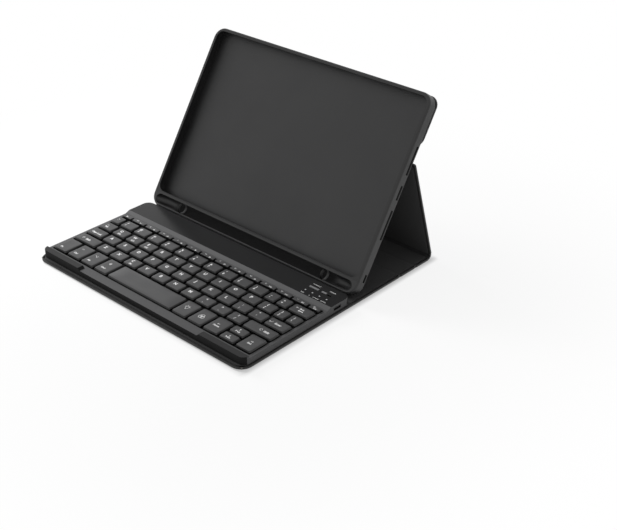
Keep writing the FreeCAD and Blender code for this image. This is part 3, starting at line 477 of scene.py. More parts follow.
def key_plastic():
    """Etched cap plastic: grey on top, going to black painted shade on the skirt along the attribute."""
    material, tree, shader, place = new_material("key plastic", (0.04, 0.04, 0.041), 0.42)
    polish = place_group(tree, POLISH, place, Patches=60.0, Low=0.36, High=0.46)
    etch = place_group(tree, ETCH, place, Grains=3000.0)
    skirt = add(tree, "ShaderNodeAttribute", attribute_name="skirt").outputs["Fac"]
    # The skirt's black is painted shade.
    two_tones(tree, shader, skirt, (0.05, 0.05, 0.051), (0.003, 0.003, 0.003))
    tree.links.new(polish.outputs["Roughness"], shader.inputs["Roughness"])
    bumps(tree, shader, etch.outputs["Height"], 0.00001)
    return material


def legend_ink():
    """Screen-printed white: slightly uneven where the ink lies thinner."""
    material, tree, shader, place = new_material("legend ink", (0.8, 0.8, 0.8), 0.55)
    thin = add(tree, "ShaderNodeTexNoise", {"Vector": place, "Scale": 900.0, "Detail": 2.0})
    two_tones(tree, shader, thin.outputs[0], (0.78, 0.78, 0.78), (0.92, 0.92, 0.92))
    return material


KEYS, INK = key_plastic(), legend_ink()
print("keyboard finishes:", DECK.name, KEYS.name, INK.name)

# %% [markdown]
# The inner pieces are mostly hidden, but they show when the keyboard is taken apart in another scene, so
# they get their real finishes too: grey board, nickel-plated magnets, plain steel, a foil pouch cell, a
# lacquered circuit board with copper tracks under the lacquer, black chips, clear lenses and pale domes.

# %% Finishes of the inner pieces
def metal(name, colour, gloss):
    """Plated metal with fine drawn lines."""
    material, tree, shader, place = new_material(name, colour, gloss, Metallic=1.0)
    stretch = add(tree, "ShaderNodeMapping", {"Vector": place, "Scale": (40.0, 2600.0, 2600.0)})
    lines = add(tree, "ShaderNodeTexNoise", {"Vector": stretch.outputs[0], "Scale": 1.0, "Detail": 3.0})
    rough = calc(tree, "MULTIPLY_ADD", lines.outputs[0], 0.25, gloss - 0.12)
    tree.links.new(rough, shader.inputs["Roughness"])
    bumps(tree, shader, lines.outputs[0], 0.000004)
    return material


def fibre_board():
    """Pressed grey board with flecks of fibre."""
    material, tree, shader, place = new_material("fibre board", (0.2, 0.19, 0.175), 0.9)
    stretch = add(tree, "ShaderNodeMapping", {"Vector": place, "Scale": (500.0, 1600.0, 1600.0)})
    flecks = add(tree, "ShaderNodeTexNoise", {"Vector": stretch.outputs[0], "Scale": 1.0, "Detail": 5.0})
    two_tones(tree, shader, flecks.outputs[0], (0.11, 0.105, 0.1), (0.29, 0.275, 0.25))
    bumps(tree, shader, flecks.outputs[0], 0.00003)
    return material


def circuit():
    """Green lacquer over copper tracks."""
    material, tree, shader, place = new_material("circuit board", (0.01, 0.07, 0.03), 0.3)
    tracks = add(tree, "ShaderNodeTexBrick", {"Vector": place, "Scale": 260.0, "Mortar Size": 0.06})
    two_tones(tree, shader, tracks.outputs["Fac"], (0.008, 0.06, 0.024), (0.03, 0.14, 0.05))
    bumps(tree, shader, tracks.outputs["Fac"], 0.00003)
    return material


def lens_plastic():
    """A clouded plug of plastic over each light."""
    material, tree, shader, place = new_material("lens plastic", (0.55, 0.56, 0.57), 0.25)
    cloud = add(tree, "ShaderNodeTexNoise", {"Vector": place, "Scale": 700.0, "Detail": 2.0})
    two_tones(tree, shader, cloud.outputs[0], (0.42, 0.43, 0.44), (0.68, 0.69, 0.7))
    return material


STEEL = metal("drawn steel", (0.45, 0.45, 0.46), 0.35)
NICKEL = metal("nickel plate", (0.5, 0.49, 0.46), 0.22)
FINISH = {
    "leather": LEATHER,
    "lining": LINING,
    "board": fibre_board(),
    "tray": SOFT_TRAY,
    "hoop": HOOP,
    "deck": DECK,
    "keys": KEYS,
    "black_plastic": BLACK_PLASTIC,
    "dome": moulded("dome rubber", (0.4, 0.4, 0.39), (0.5, 0.5, 0.49), (0.5, 0.6)),
    "film": moulded("membrane film", (0.3, 0.31, 0.32), (0.38, 0.39, 0.4), (0.2, 0.3)),
    "steel": STEEL,
    "magnet": NICKEL,
    "cell": metal("cell foil", (0.55, 0.55, 0.56), 0.3),
    "circuit": circuit(),
    "chip": moulded("chip resin", (0.012, 0.012, 0.013), (0.018, 0.018, 0.02), (0.35, 0.5)),
    "lens": lens_plastic(),
    "control": CONTROL,
}
slots = {material["slot"] for material in frame["record"]["materials"]}
print("slots without a finish:", sorted(slots - set(FINISH)))

# %% [markdown]
# Hard CAD nodes stay as they are and only change their finish. The record says which material slot each node
# takes, so one loop dresses them all. The charging socket alone is taken out of its slot: its metal shell is
# darkened nearly black, painted shade for the inside of the port.

# %% Give each CAD node its finish
for part in frame["record"]["subparts"]:
    node = nodes_of_part[part["node"]]
    finish = SOCKET if part["node"] == "charging_socket" else FINISH[part["material_slot"]]
    node.data.materials.clear()
    node.data.materials.append(finish)

# %% [markdown]
# ## Floor and light
#
# A studio photograph on white: a pale floor, light from everywhere, and one soft lamp low on the left that
# lays short shadows into the trough. The floor keeps the case's shadow, strong along its edges and faint a
# few millimetres on, and runs out to white. That white is only what the camera and mirrors see, so the left
# keys mirror the bright room and the right ones the dark tray, and no extra light falls on the case.

# %% Floor
# The desk under the case: the middle and half the size of its footprint, in metres.
FOOTPRINT = ((0.0, 0.0241), (0.1305, 0.1205))
SHADOW_REACH, WHITE_REACH = 0.007, 0.3
# How white the floor gets: over which reach, from how much to how much. The two are added.
SHADE = ((SHADOW_REACH, 0.4, 0.88), (WHITE_REACH, 0.0, 0.12))
FLOOR_ROUND, FLOOR_STEPS, FLOOR_Z = 4.0, 96, -0.0004


def mirrors_too(tree):
    """1 for rays from the camera, from mirrors and through clear plastic, 0 for the light itself."""
    path = add(tree, "ShaderNodeLightPath").outputs
    seen = calc(tree, "MAXIMUM", path["Is Camera Ray"], path["Is Glossy Ray"])
    return calc(tree, "MAXIMUM", seen, path["Is Transmission Ray"])


def white_floor():
    """Pale and shaded close to the case, nearly white a few millimetres on, and white far out."""
    material, tree, shader, place = new_material("studio floor", (0.9, 0.9, 0.9), 0.8)
    spot = add(tree, "ShaderNodeSeparateXYZ", {0: place}).outputs
    beyond = []
    for axis, (middle, half) in enumerate(zip(*FOOTPRINT)):
        off = calc(tree, "ABSOLUTE", calc(tree, "SUBTRACT", spot[axis], middle))
        beyond.append(calc(tree, "MAXIMUM", calc(tree, "SUBTRACT", off, half), 0.0))
    squares = calc(tree, "ADD", *[calc(tree, "MULTIPLY", v, v) for v in beyond])
    away = calc(tree, "SQRT", squares)
    white = 0.0
    for reach, low, high in SHADE:
        ramp = add(
            tree, "ShaderNodeMapRange",
            {"Value": away, "From Min": 0.0, "From Max": reach, "To Min": low, "To Max": high},
            interpolation_type="SMOOTHSTEP",
        )
        white = calc(tree, "ADD", white, ramp.outputs[0])
    glow = add(tree, "ShaderNodeEmission", {"Color": (1.0, 1.0, 1.0, 1.0), "Strength": 1.0})
    mix = add(tree, "ShaderNodeMixShader", {0: calc(tree, "MULTIPLY", white, mirrors_too(tree))})
    tree.links.new(shader.outputs[0], mix.inputs[1])
    tree.links.new(glow.outputs[0], mix.inputs[2])
    output = next(n for n in tree.nodes if n.type == "OUTPUT_MATERIAL")
    tree.links.new(mix.outputs[0], output.inputs["Surface"])
    return material


floor_mesh = bpy.data.meshes.new("floor")
turns = [step * math.tau / FLOOR_STEPS for step in range(FLOOR_STEPS)]
rim = [(FLOOR_ROUND * math.cos(a), FLOOR_ROUND * math.sin(a), FLOOR_Z) for a in turns]
floor_mesh.from_pydata(rim, [], [list(range(FLOOR_STEPS))])
floor_mesh.materials.append(white_floor())
floor = bpy.data.objects.new("floor", floor_mesh)
scene.collection.objects.link(floor)
print("floor: shadow fades over", SHADOW_REACH, "m, white by", WHITE_REACH, "m from the case")

# %% [markdown]
# The room itself is the main light: an even white world. It lights the case at a third of the white that the
# camera sees. The lamp on the left is a square soft box; it is hidden from mirrors so that it leaves no
# bright square on the glossy plastic.

# %% Light
ROOM_LIGHT, ROOM_WHITE = 0.32, 1.0
world = bpy.data.worlds.new("studio")
world.use_nodes = True
scene.world = world
sky = world.node_tree
levels = {"Value": mirrors_too(sky), "To Min": ROOM_LIGHT, "To Max": ROOM_WHITE}
strength = add(sky, "ShaderNodeMapRange", levels)
background = next(n for n in sky.nodes if n.type == "BACKGROUND")
background.inputs["Color"].default_value = (1.0, 1.0, 1.0, 1.0)
sky.links.new(strength.outputs[0], background.inputs["Strength"])


def soft_lamp(name, place, aim, size, power):
    """A square soft box that looks at a point and leaves no glare of its own."""
    data = bpy.data.lights.new(name, "AREA")
    data.size = size
    data.energy = power
    lamp = bpy.data.objects.new(name, data)
    lamp.location = place
    lamp.rotation_euler = (Vector(aim) - Vector(place)).to_track_quat("-Z", "Y").to_euler()
    lamp.visible_glossy = False
    scene.collection.objects.link(lamp)


soft_lamp("left soft box", place=(-0.85, 0.0, 0.5), aim=(0.0, 0.0, 0.03), size=0.4, power=13.0)

# %% [markdown]
# ## Leather panels
#
# Each panel of the folio is a leather skin glued round a board: its outer face has a fine pressed line
# just inside the border, its edge is turned over in a soft round, and inside it holds the board's bed.
# It could be a box with a bevel, but a stack of rings gives every one of those steps its true size: each
# ring is the panel's outline drawn in by some distance at some depth, and neighbouring rings are bridged.

# %% Rings
def outline(left, low, right, high, rounds, steps=8):
    """A rectangle's outline with its own corner rounds: near left, near right, far right, far left."""
    corners = ((left, low, 180), (right, low, 270), (right, high, 0), (left, high, 90))
    points = []
    for (x, y, start), radius in zip(corners, rounds):
        across = x + radius if x == left else x - radius
        along = y + radius if y == low else y - radius
        for step in range(steps + 1):
            angle = math.radians(start + 90 * step / steps)
            points.append((across + radius * math.cos(angle), along + radius * math.sin(angle)))
    return points


SHARP = math.radians(34)


def stack(name, rings, matrix, material):
    """A mesh from rings of points, bridged one to the next, with its two ends filled."""
    mesh = bmesh.new()
    loops = [[mesh.verts.new(matrix @ (Vector(point) * MM)) for point in ring] for ring in rings]
    for one, two in zip(loops, loops[1:]):
        for n in range(len(one)):
            m = (n + 1) % len(one)
            mesh.faces.new((one[n], one[m], two[m], two[n]))
    mesh.faces.new(list(reversed(loops[0])))
    mesh.faces.new(loops[-1])
    bmesh.ops.recalc_face_normals(mesh, faces=mesh.faces)
    data = bpy.data.meshes.new(name)
    mesh.to_mesh(data)
    mesh.free()
    for face in data.polygons:
        face.use_smooth = True
    data.set_sharp_from_angle(angle=SHARP)
    data.materials.append(material)
    piece = bpy.data.objects.new(name, data)
    scene.collection.objects.link(piece)
    return piece


# How the leather runs: (distance in from a free edge, from a folded edge, depth), from the outer face on.
SKIN = [
    (6.0, 6.0, 0.0), (2.9, 2.9, 0.0), (2.7, 2.7, 0.14), (2.4, 2.4, 0.14), (2.2, 2.2, 0.0), (0.85, 0.0, 0.0),
    (0.42, 0.0, 0.11), (0.11, 0.0, 0.42), (0.0, 0.0, 0.85), (0.0, 0.0, 1.2), (0.1, 0.0, 1.6),
    (0.33, 0.0, 1.88), (0.75, 0.0, 2.0), (3.0, 3.0, 2.0), (3.0, 3.0, 0.8),
]
# How the lining runs, from its glued face up: it ends short of a free edge and shows a rim of leather there.
NAP = [
    (2.5, 0.0, 2.0), (2.4, 0.0, 2.1), (2.4, 0.0, 2.3), (2.5, 0.0, 2.48), (2.75, 0.0, 2.58), (3.1, 0.0, 2.6),
    (6.0, 6.0, 2.6),
]


def panel_rings(course, left, low, right, high, rounds, folded_low, folded_high):
    """The rings of one skin: its outline drawn in along the course."""
    rings = []
    for free, folded, depth in course:
        near = folded if folded_low else free
        far = folded if folded_high else free
        radii = [max(radius - free, 0.04) for radius in rounds]
        points = outline(left + free, low + near, right - free, high - far, radii)
        rings.append([(x, y, depth) for x, y in points])
    return rings


print("leather course:", len(SKIN), "rings, lining course:", len(NAP), "rings")

# %% [markdown]
# The cover, spine and back strip lie flat on the desk. The stand panel rises from the last fold, leaning
# forward until its upper edge meets the tray's back. Where two panels meet at a fold the skin isn't turned
# over, because there the leather runs on into the next panel. The panels' ends come from the frame's boxes
# and the fold lines from its joints, so the skins stay on their boards.

# %% Folio panels
def span_of(node, axis):
    """Where a node starts and ends along an axis, in millimetres."""
    return [frame_mm(corner)[axis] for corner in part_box(node)]


LEFT, RIGHT = span_of("cover_leather", 0)
WIDE = RIGHT - LEFT
FOLD_ONE, FOLD_TWO, FOLD_THREE = [PIVOT[name][1] for name in ("spine_turn", "strip_turn", "stand_turn")]
FOLD_Z = PIVOT["spine_turn"][2]
STAND_ANGLE = math.radians(106.896)
STAND_LONG = 107.5
BEND = 4.8
BEND_REACH = (BEND - FOLD_Z) * math.tan(STAND_ANGLE / 2)
COVER_ROUND, CUT_ROUND, STAND_ROUND = 11, 0.6, 2


def on_fold(along, angle):
    """The place of a panel that starts at a fold and rises at an angle."""
    turn = Matrix.Rotation(angle, 4, "X")
    lift = Matrix.Translation((0, along * MM, FOLD_Z * MM))
    return lift @ turn @ Matrix.Translation((0, 0, -FOLD_Z * MM))


FLAT = Matrix.Identity(4)
STAND = on_fold(FOLD_THREE, STAND_ANGLE)
CUT = (CUT_ROUND, CUT_ROUND)
# Each panel's place, near end, far end, corner rounds, and which of its ends meet a fold.
PANELS = {
    "cover": (FLAT, *span_of("cover_leather", 1), (COVER_ROUND, COVER_ROUND) + CUT, False, True),
    "spine": (FLAT, *span_of("spine_leather", 1), CUT + CUT, True, True),
    "strip": (FLAT, span_of("strip_leather", 1)[0], FOLD_THREE - BEND_REACH, CUT + CUT, True, True),
    "stand": (STAND, BEND_REACH, STAND_LONG, CUT + (STAND_ROUND, STAND_ROUND), True, False),
}
for body, (place, low, high, rounds, folded_low, folded_high) in PANELS.items():
    span = (-WIDE / 2, low, WIDE / 2, high, rounds, folded_low, folded_high)
    for layer, course, finish in (("leather", SKIN, LEATHER), ("lining", NAP, LINING)):
        piece = stack(body + "_" + layer + "_skin", panel_rings(course, *span), place, finish)
        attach(piece, body)
        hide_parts(body + "_" + layer)
    print(body, "panel", round(high - low, 1), "mm long")

# %% [markdown]
# ## Folds
#
# Between two panels there is no board, only leather and lining glued face to face, so the folio is thinner
# there and bends. Each fold is a strip swept along the case from a profile: flush with the outer face,
# a little dipped on the inside, leather outside and lining inside. It is cut into many steps across, enough
# for a smooth curl, and is built in place without a tie to either panel. The two folds by the spine lie
# flat; the one below the stand panel is a round bend.

# %% Folds
def swept(name, profile, long, outer, inner, steps=24):
    """A closed profile in the Y-Z plane swept along X. Its second half is the inner side."""
    rings = []
    for step in range(steps + 1):
        x = -long / 2 + long * step / steps
        rings.append([(x, y, z) for y, z in profile])
    piece = stack(name, rings, FLAT, outer)
    piece.data.materials.append(inner)
    count = len(profile)
    for face in piece.data.polygons[: steps * count]:
        face.material_index = int(count // 2 <= face.index % count < count - 1)
    return piece


def fold_profile(path):
    """Outer points, then inner points back, from a path of (point, inward normal, thickness)."""
    outer = [(p[0], p[1]) for p, n, t in path]
    inner = [(p[0] + n[0] * t, p[1] + n[1] * t) for p, n, t in path]
    return outer + inner[::-1]


FOLD_HALF, FOLD_INSET = 1.6, 0.8
FULL, FLAT_DIP, ROUND_DIP = 2.6, 2.45, 1.4
SIDE_SHARE = 0.22


def dip(share, thin):
    """Thickness across a fold: full at its two sides, thin over the middle."""
    ease = min(share, 1 - share, SIDE_SHARE) / SIDE_SHARE
    return FULL + (thin - FULL) * ease * ease * (3 - 2 * ease)


def flat_fold(middle, steps=16):
    """A fold that lies flat on the desk between two panels."""
    path = []
    for step in range(steps + 1):
        share = step / steps
        along = middle - FOLD_HALF + 2 * FOLD_HALF * share
        path.append(((along, 0.0), (0.0, 1.0), dip(share, FLAT_DIP)))
    return fold_profile(path)


def round_fold(steps=28):
    """The bend below the stand panel: an arc from the strip's outer face to the stand's."""
    centre = (FOLD_THREE - BEND_REACH, BEND)
    path = []
    for step in range(steps + 1):
        share = step / steps
        angle = STAND_ANGLE * share
        out = (math.sin(angle), -math.cos(angle))
        place = (centre[0] + BEND * out[0], centre[1] + BEND * out[1])
        path.append((place, (-out[0], -out[1]), dip(share, ROUND_DIP)))
    return fold_profile(path)


# Each fold: the panel before it, the panel after it, its profile, and where its bend starts and ends.
FOLDS = {}
for before, after, line in (("cover", "spine", FOLD_ONE), ("spine", "strip", FOLD_TWO)):
    FOLDS[after + "_fold"] = (before, after, flat_fold(line), (line - FOLD_HALF, 0), (line + FOLD_HALF, 0))
arc = round_fold()
FOLDS["stand_fold"] = ("strip", "stand", arc, arc[-1], arc[len(arc) // 2])
for node, (before, after, profile, start, end) in FOLDS.items():
    piece = swept(node + "_leather", profile, WIDE - 2 * FOLD_INSET, LEATHER, LINING)
    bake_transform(piece)
    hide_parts(node)
    print(node, "bends from", before, "to", after)

# %% [markdown]
# ## The tray's back
#
# The upper back of the tray carries a leather panel of its own, and below it a soft ribbed strip that the
# stand panel folds against. The panel is built as the folio's panels are, on the tray's leaning frame. The
# strip is a wavy profile, with dents between its ribs, drawn out along the tray.

# %% Back panel
BACK_LOW, BACK_HIGH, BACK_WIDE, BACK_ROUND, BACK_THICK = 136.5, 181.5, 259.0, 9, 2.0
BACK = TRAY @ Matrix.Translation((0, 0, -BACK_THICK * MM))
back_rings = panel_rings(
    SKIN, -BACK_WIDE / 2, BACK_LOW, BACK_WIDE / 2, BACK_HIGH, (BACK_ROUND,) * 4, False, False
)
back_panel = stack("back_panel_leather", back_rings, BACK, LEATHER)
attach(back_panel, "tray")
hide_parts("flap_leather")
print("back panel:", BACK_WIDE, "x", BACK_HIGH - BACK_LOW, "mm")

# %% Soft strip
STRIP_LOW, STRIP_REACH, STRIP_WIDE, STRIP_THICK = 125.5, 11.0, 253.0, 1.2
RIBS, RIB_DENT, RIB_STEPS = 4, 0.28, 24
EDGE_ROUND, EDGE_INSET = 0.25, 0.1
strip_profile = [(STRIP_LOW + EDGE_INSET, 0.0)]
for step in range(RIB_STEPS + 1):
    share = step / RIB_STEPS
    edge = step in (0, RIB_STEPS)
    dent = EDGE_ROUND if edge else RIB_DENT * max(0.0, math.cos(share * RIBS * math.tau)) ** 3
    strip_profile.append((STRIP_LOW + STRIP_REACH * share, dent - STRIP_THICK))
strip_profile.append((STRIP_LOW + STRIP_REACH - EDGE_INSET, 0.0))
soft_rings = []
for step in range(RIB_STEPS + 1):
    x = STRIP_WIDE * (step / RIB_STEPS - 0.5)
    soft_rings.append([(x, s, z) for s, z in strip_profile])
soft_strip = stack("soft_strip_leather", soft_rings, TRAY, LEATHER)
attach(soft_strip, "tray")
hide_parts("hinge_strip")
print("soft strip:", RIBS, "ribs over", STRIP_REACH, "mm")

# %% [markdown]
# ## Key caps
#
# Some eighty caps share one moulded form: a rounded rectangle with a leaning skirt, a rounded rim and a
# shallow dish on top, and only their width and depth differ. That is a rule, so a Geometry Nodes tree makes
# them: it puts one small drum on a point for each key and then pushes the drum's corners apart by the width
# and depth that the point carries. Scaling a finished cap would be simpler, but it would stretch the rounds.

# %% Where the keys are
KEYS_LEFT, KEYS_RIGHT = span_of("function_keys", 0)
FRONT = span_of("cover_leather", 1)[0]
GAP, HALF_GAP = 1.8, 0.8
LETTER, NARROW, END_KEY = 16.95, 12.2, 11.6
GRAVE_KEY, TAB_KEY, LOCK_KEY, SHIFT_KEY = 10.4, 16.1, 19.6, 28.1
NEAR_LOW, NEAR_DEEP, ROW_DEEP, PITCH, THIN_DEEP = 14.6, 21.5, 12.4, 14.2, 4.9
KEY_LOW, KEY_TALL = 7.4, 2.1


def row_of_keys(widths, low, deep):
    """(middle x, middle y, width, depth) of each key; one width of None takes what is left of the row."""
    spare = KEYS_RIGHT - KEYS_LEFT - GAP * (len(widths) - 1) - sum(w for w in widths if w)
    left, keys = KEYS_LEFT, []
    for width in widths:
        width = width or spare
        keys.append((left + width / 2, FRONT + low + deep / 2, width, deep))
        left += width + GAP
    return keys


def row_low(number):
    """The near edge of a full row, counted from the one above the space bar."""
    return NEAR_LOW + NEAR_DEEP + GAP + number * PITCH


# The near row holds four keys, the space bar and five more. The down and up arrows share the place of one,
# between the left and the right arrow.
near = row_of_keys([LETTER] * 4 + [None] + [LETTER] * 5, NEAR_LOW, NEAR_DEEP)
half = (NEAR_DEEP - HALF_GAP) / 2
updown_x = near[8][0]
KEYS_OF = {
    "function_keys": row_of_keys([END_KEY] + [LETTER] * 12 + [END_KEY], row_low(4), THIN_DEEP),
    "number_keys": row_of_keys([GRAVE_KEY] + [LETTER] * 10 + [NARROW] * 2 + [None], row_low(3), ROW_DEEP),
    "upper_keys": row_of_keys([TAB_KEY] + [LETTER] * 11 + [NARROW, None], row_low(2), ROW_DEEP),
    "home_keys": row_of_keys([LOCK_KEY] + [LETTER] * 11 + [None], row_low(1), ROW_DEEP),
    "lower_keys": row_of_keys([SHIFT_KEY] + [LETTER] * 10 + [None], row_low(0), ROW_DEEP),
    "modifier_keys": near[0:4] + near[5:7],
    "space_bar": near[4:5],
    "arrow_keys": [
        near[7],
        near[9],
        (updown_x, FRONT + NEAR_LOW + half / 2, LETTER, half),
        (updown_x, FRONT + NEAR_LOW + NEAR_DEEP - half / 2, LETTER, half),
    ],
}
print("keys:", {body: len(keys) for body, keys in KEYS_OF.items()})

# %% [markdown]
# Two trees follow, one for the caps and one for the trough's hoops, so what they share comes first: the
# sockets of a tree, values that points carry under a name, the finish at the end, and turning the result into
# a plain mesh, because the exported model keeps no modifiers.

# %% Tools for the trees
def shape_tree(name, source, sizes, result):
    """A Geometry Nodes tree with named sizes in millimetres, and a finish for what it makes."""
    tree = bpy.data.node_groups.new(name, "GeometryNodeTree")
    tree.interface.new_socket(source, in_out="INPUT", socket_type="NodeSocketGeometry")
    for label, value in sizes.items():
        socket = tree.interface.new_socket(label, in_out="INPUT", socket_type="NodeSocketFloat")
        socket.default_value = value * MM
    tree.interface.new_socket("Finish", in_out="INPUT", socket_type="NodeSocketMaterial")
    tree.interface.new_socket(result, in_out="OUTPUT", socket_type="NodeSocketGeometry")
    return tree, add(tree, "NodeGroupInput").outputs, add(tree, "NodeGroupOutput")


def keep(tree, geometry, label, value, kind):
    """Store a value on the points under a name."""
    links = {"Geometry": geometry, "Name": label, "Value": value}
    return add(tree, "GeometryNodeStoreNamedAttribute", links, data_type=kind, domain="POINT").outputs[0]


def read(tree, label, kind):
    """Read a value that the points carry under a name."""
    return add(tree, "GeometryNodeInputNamedAttribute", {"Name": label}, data_type=kind).outputs[0]


def finished(tree, geometry, finish):
    """Smooth shading and the finish, as the last step of a tree."""
    smooth = add(tree, "GeometryNodeSetShadeSmooth", {"Geometry": geometry}).outputs[0]
    return add(tree, "GeometryNodeSetMaterial", {"Geometry": smooth, "Material": finish}).outputs[0]


def run_tree(piece, tree, **values):
    """Evaluate a tree on a piece and keep the result as its plain mesh."""
    modifier = piece.modifiers.new("shape", "NODES")
    modifier.node_group = tree
    for item in tree.interface.items_tree:
        if item.item_type == "SOCKET" and item.name in values:
            modifier[item.identifier] = values[item.name]
    bpy.context.view_layer.update()
    graph = bpy.context.evaluated_depsgraph_get()
    made = bpy.data.meshes.new_from_object(piece.evaluated_get(graph))
    piece.modifiers.clear()
    piece.data = made


print("tree tools: sockets, named values, finish, evaluation")

# %% [markdown]
# The drum that every cap starts from has rings up its side and over its top. How high a ring lies on the drum
# says what it becomes: the lower half of the side is the leaning skirt, the upper half bends over into the
# rounded rim, and the top sinks into the dish. The drum's corners then move out until the cap is as wide and
# as deep as its key.

# %% The cap tree
DRUM_STEPS = 24
# Heights on the drum, from 0 to 1: rings above the first are the top; the shade fades out below the second.
TOP_RISE = 0.99
SHADE_RISE, SHADE_FADE = 0.8, 0.3
CAP = {"Height": KEY_TALL, "Corner": 1.4, "Lean": 0.9, "Edge": 0.3, "Dish": 0.1}
THIN_CAP = {"Height": KEY_TALL, "Corner": 0.9, "Lean": 0.25, "Edge": 0.2, "Dish": 0.04}
CAP_OF = {body: THIN_CAP if body == "function_keys" else CAP for body in KEYS_OF}


def cap_profile(tree, given, rise, ring):
    """How far a ring of the drum is drawn in, and how high it ends up."""
    skirt = calc(tree, "MINIMUM", calc(tree, "MULTIPLY", rise, 2.0), 1.0)
    bend = calc(tree, "MAXIMUM", calc(tree, "MULTIPLY_ADD", rise, math.pi, -math.pi / 2), 0.0)
    drawn = calc(tree, "SUBTRACT", 1.0, calc(tree, "COSINE", bend))
    lean = calc(tree, "MULTIPLY", given["Lean"], skirt)
    inset = calc(tree, "ADD", lean, calc(tree, "MULTIPLY", given["Edge"], drawn))
    level = calc(tree, "MULTIPLY", calc(tree, "SUBTRACT", given["Height"], given["Edge"]), skirt)
    level = calc(tree, "ADD", level, calc(tree, "MULTIPLY", given["Edge"], calc(tree, "SINE", bend)))
    hollow = calc(tree, "SUBTRACT", 1.0, calc(tree, "MULTIPLY", ring, ring))
    hollow = calc(tree, "MULTIPLY", hollow, calc(tree, "GREATER_THAN", rise, TOP_RISE))
    return inset, calc(tree, "SUBTRACT", level, calc(tree, "MULTIPLY", given["Dish"], hollow))


def cap_side(tree, given, local, ring, inset, size):
    """A point's place across the cap: out to the corner's middle, then round the corner."""
    reach = calc(tree, "MULTIPLY", size, 0.5)
    reach = calc(tree, "SUBTRACT", calc(tree, "SUBTRACT", reach, inset), given["Corner"])
    reach = calc(tree, "MULTIPLY", reach, calc(tree, "SIGN", local))
    safe = calc(tree, "MAXIMUM", ring, 0.001)
    corner = calc(tree, "MULTIPLY", given["Corner"], calc(tree, "DIVIDE", local, safe))
    return calc(tree, "MULTIPLY", calc(tree, "ADD", reach, corner), ring)


def cap_tree():
    """A drum of rings on each key's point, pushed out to the key's width and depth."""
    tree, given, leave = shape_tree("key caps", "Keys", CAP, "Caps")

    # One drum of rings, turned half a step so that no point lies between two corners.
    drum = add(
        tree, "GeometryNodeMeshCylinder",
        {"Vertices": DRUM_STEPS, "Side Segments": 4, "Fill Segments": 3, "Radius": 1.0, "Depth": 1.0},
        fill_type="TRIANGLE_FAN",
    )
    turn = (0.0, 0.0, math.pi / DRUM_STEPS)
    turned = add(tree, "GeometryNodeTransform", {"Geometry": drum.outputs["Mesh"], "Rotation": turn})
    where = add(tree, "GeometryNodeInputPosition").outputs[0]
    form = keep(tree, turned.outputs[0], "local", where, "FLOAT_VECTOR")
    spots = keep(tree, given["Keys"], "centre", where, "FLOAT_VECTOR")
    many = add(tree, "GeometryNodeInstanceOnPoints", {"Points": spots, "Instance": form})
    solid = add(tree, "GeometryNodeRealizeInstances", {"Geometry": many.outputs[0]}).outputs[0]

    # Every point moves to its place on its own cap.
    x, y, z = add(tree, "ShaderNodeSeparateXYZ", {0: read(tree, "local", "FLOAT_VECTOR")}).outputs
    squares = calc(tree, "ADD", calc(tree, "MULTIPLY", x, x), calc(tree, "MULTIPLY", y, y))
    ring = calc(tree, "SQRT", squares)
    rise = calc(tree, "ADD", z, 0.5)
    inset, level = cap_profile(tree, given, rise, ring)
    across = cap_side(tree, given, x, ring, inset, read(tree, "wide", "FLOAT"))
    along = cap_side(tree, given, y, ring, inset, read(tree, "deep", "FLOAT"))
    offset = add(tree, "ShaderNodeCombineXYZ", {0: across, 1: along, 2: level}).outputs[0]
    centre = read(tree, "centre", "FLOAT_VECTOR")
    spot = add(tree, "ShaderNodeVectorMath", {0: centre, 1: offset}, operation="ADD").outputs[0]
    shaped = add(tree, "GeometryNodeSetPosition", {"Geometry": solid, "Position": spot}).outputs[0]

    # The skirt's shade fades out on the way up; the values that were only needed here are dropped.
    shade = calc(tree, "DIVIDE", calc(tree, "SUBTRACT", SHADE_RISE, rise), SHADE_FADE)
    shade = calc(tree, "MINIMUM", calc(tree, "MAXIMUM", shade, 0.0), 1.0)
    caps = finished(tree, keep(tree, shaped, "skirt", shade, "FLOAT"), given["Finish"])
    for label in ("local", "centre", "wide", "deep"):
        caps = add(tree, "GeometryNodeRemoveAttribute", {"Geometry": caps, "Name": label}).outputs[0]
    tree.links.new(caps, leave.inputs[0])
    return tree


CAP_TREE = cap_tree()
print("cap tree:", len(CAP_TREE.nodes), "nodes")

# %% [markdown]
# Each group of keys moves as one body, so each gets a mesh of its own: a point for every key, with the key's
# width and depth stored on it, run through the tree.

# %% Caps for each group of keys
for body, keys in KEYS_OF.items():
    points = bpy.data.meshes.new(body)
    points.from_pydata([(x * MM, y * MM, KEY_LOW * MM) for x, y, wide, deep in keys], [], [])
    for number, label in ((2, "wide"), (3, "deep")):
        values = points.attributes.new(label, "FLOAT", "POINT")
        values.data.foreach_set("value", [key[number] * MM for key in keys])
    caps = bpy.data.objects.new(body + "_caps", points)
    scene.collection.objects.link(caps)
    run_tree(caps, CAP_TREE, Finish=KEYS, **{label: value * MM for label, value in CAP_OF[body].items()})
    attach(caps, body)
    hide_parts(body)
    top = max(vertex.co.z for vertex in caps.data.vertices) / MM
    print(body, "caps:", len(keys), "faces:", len(caps.data.polygons), "top at", round(top, 2), "mm")

# %% [markdown]
# ## Homing bars
#
# The keys under the two first fingers carry a short raised bar near their front edge, so that a hand finds
# them without looking. Each is a small stack of rings, narrower at the top.

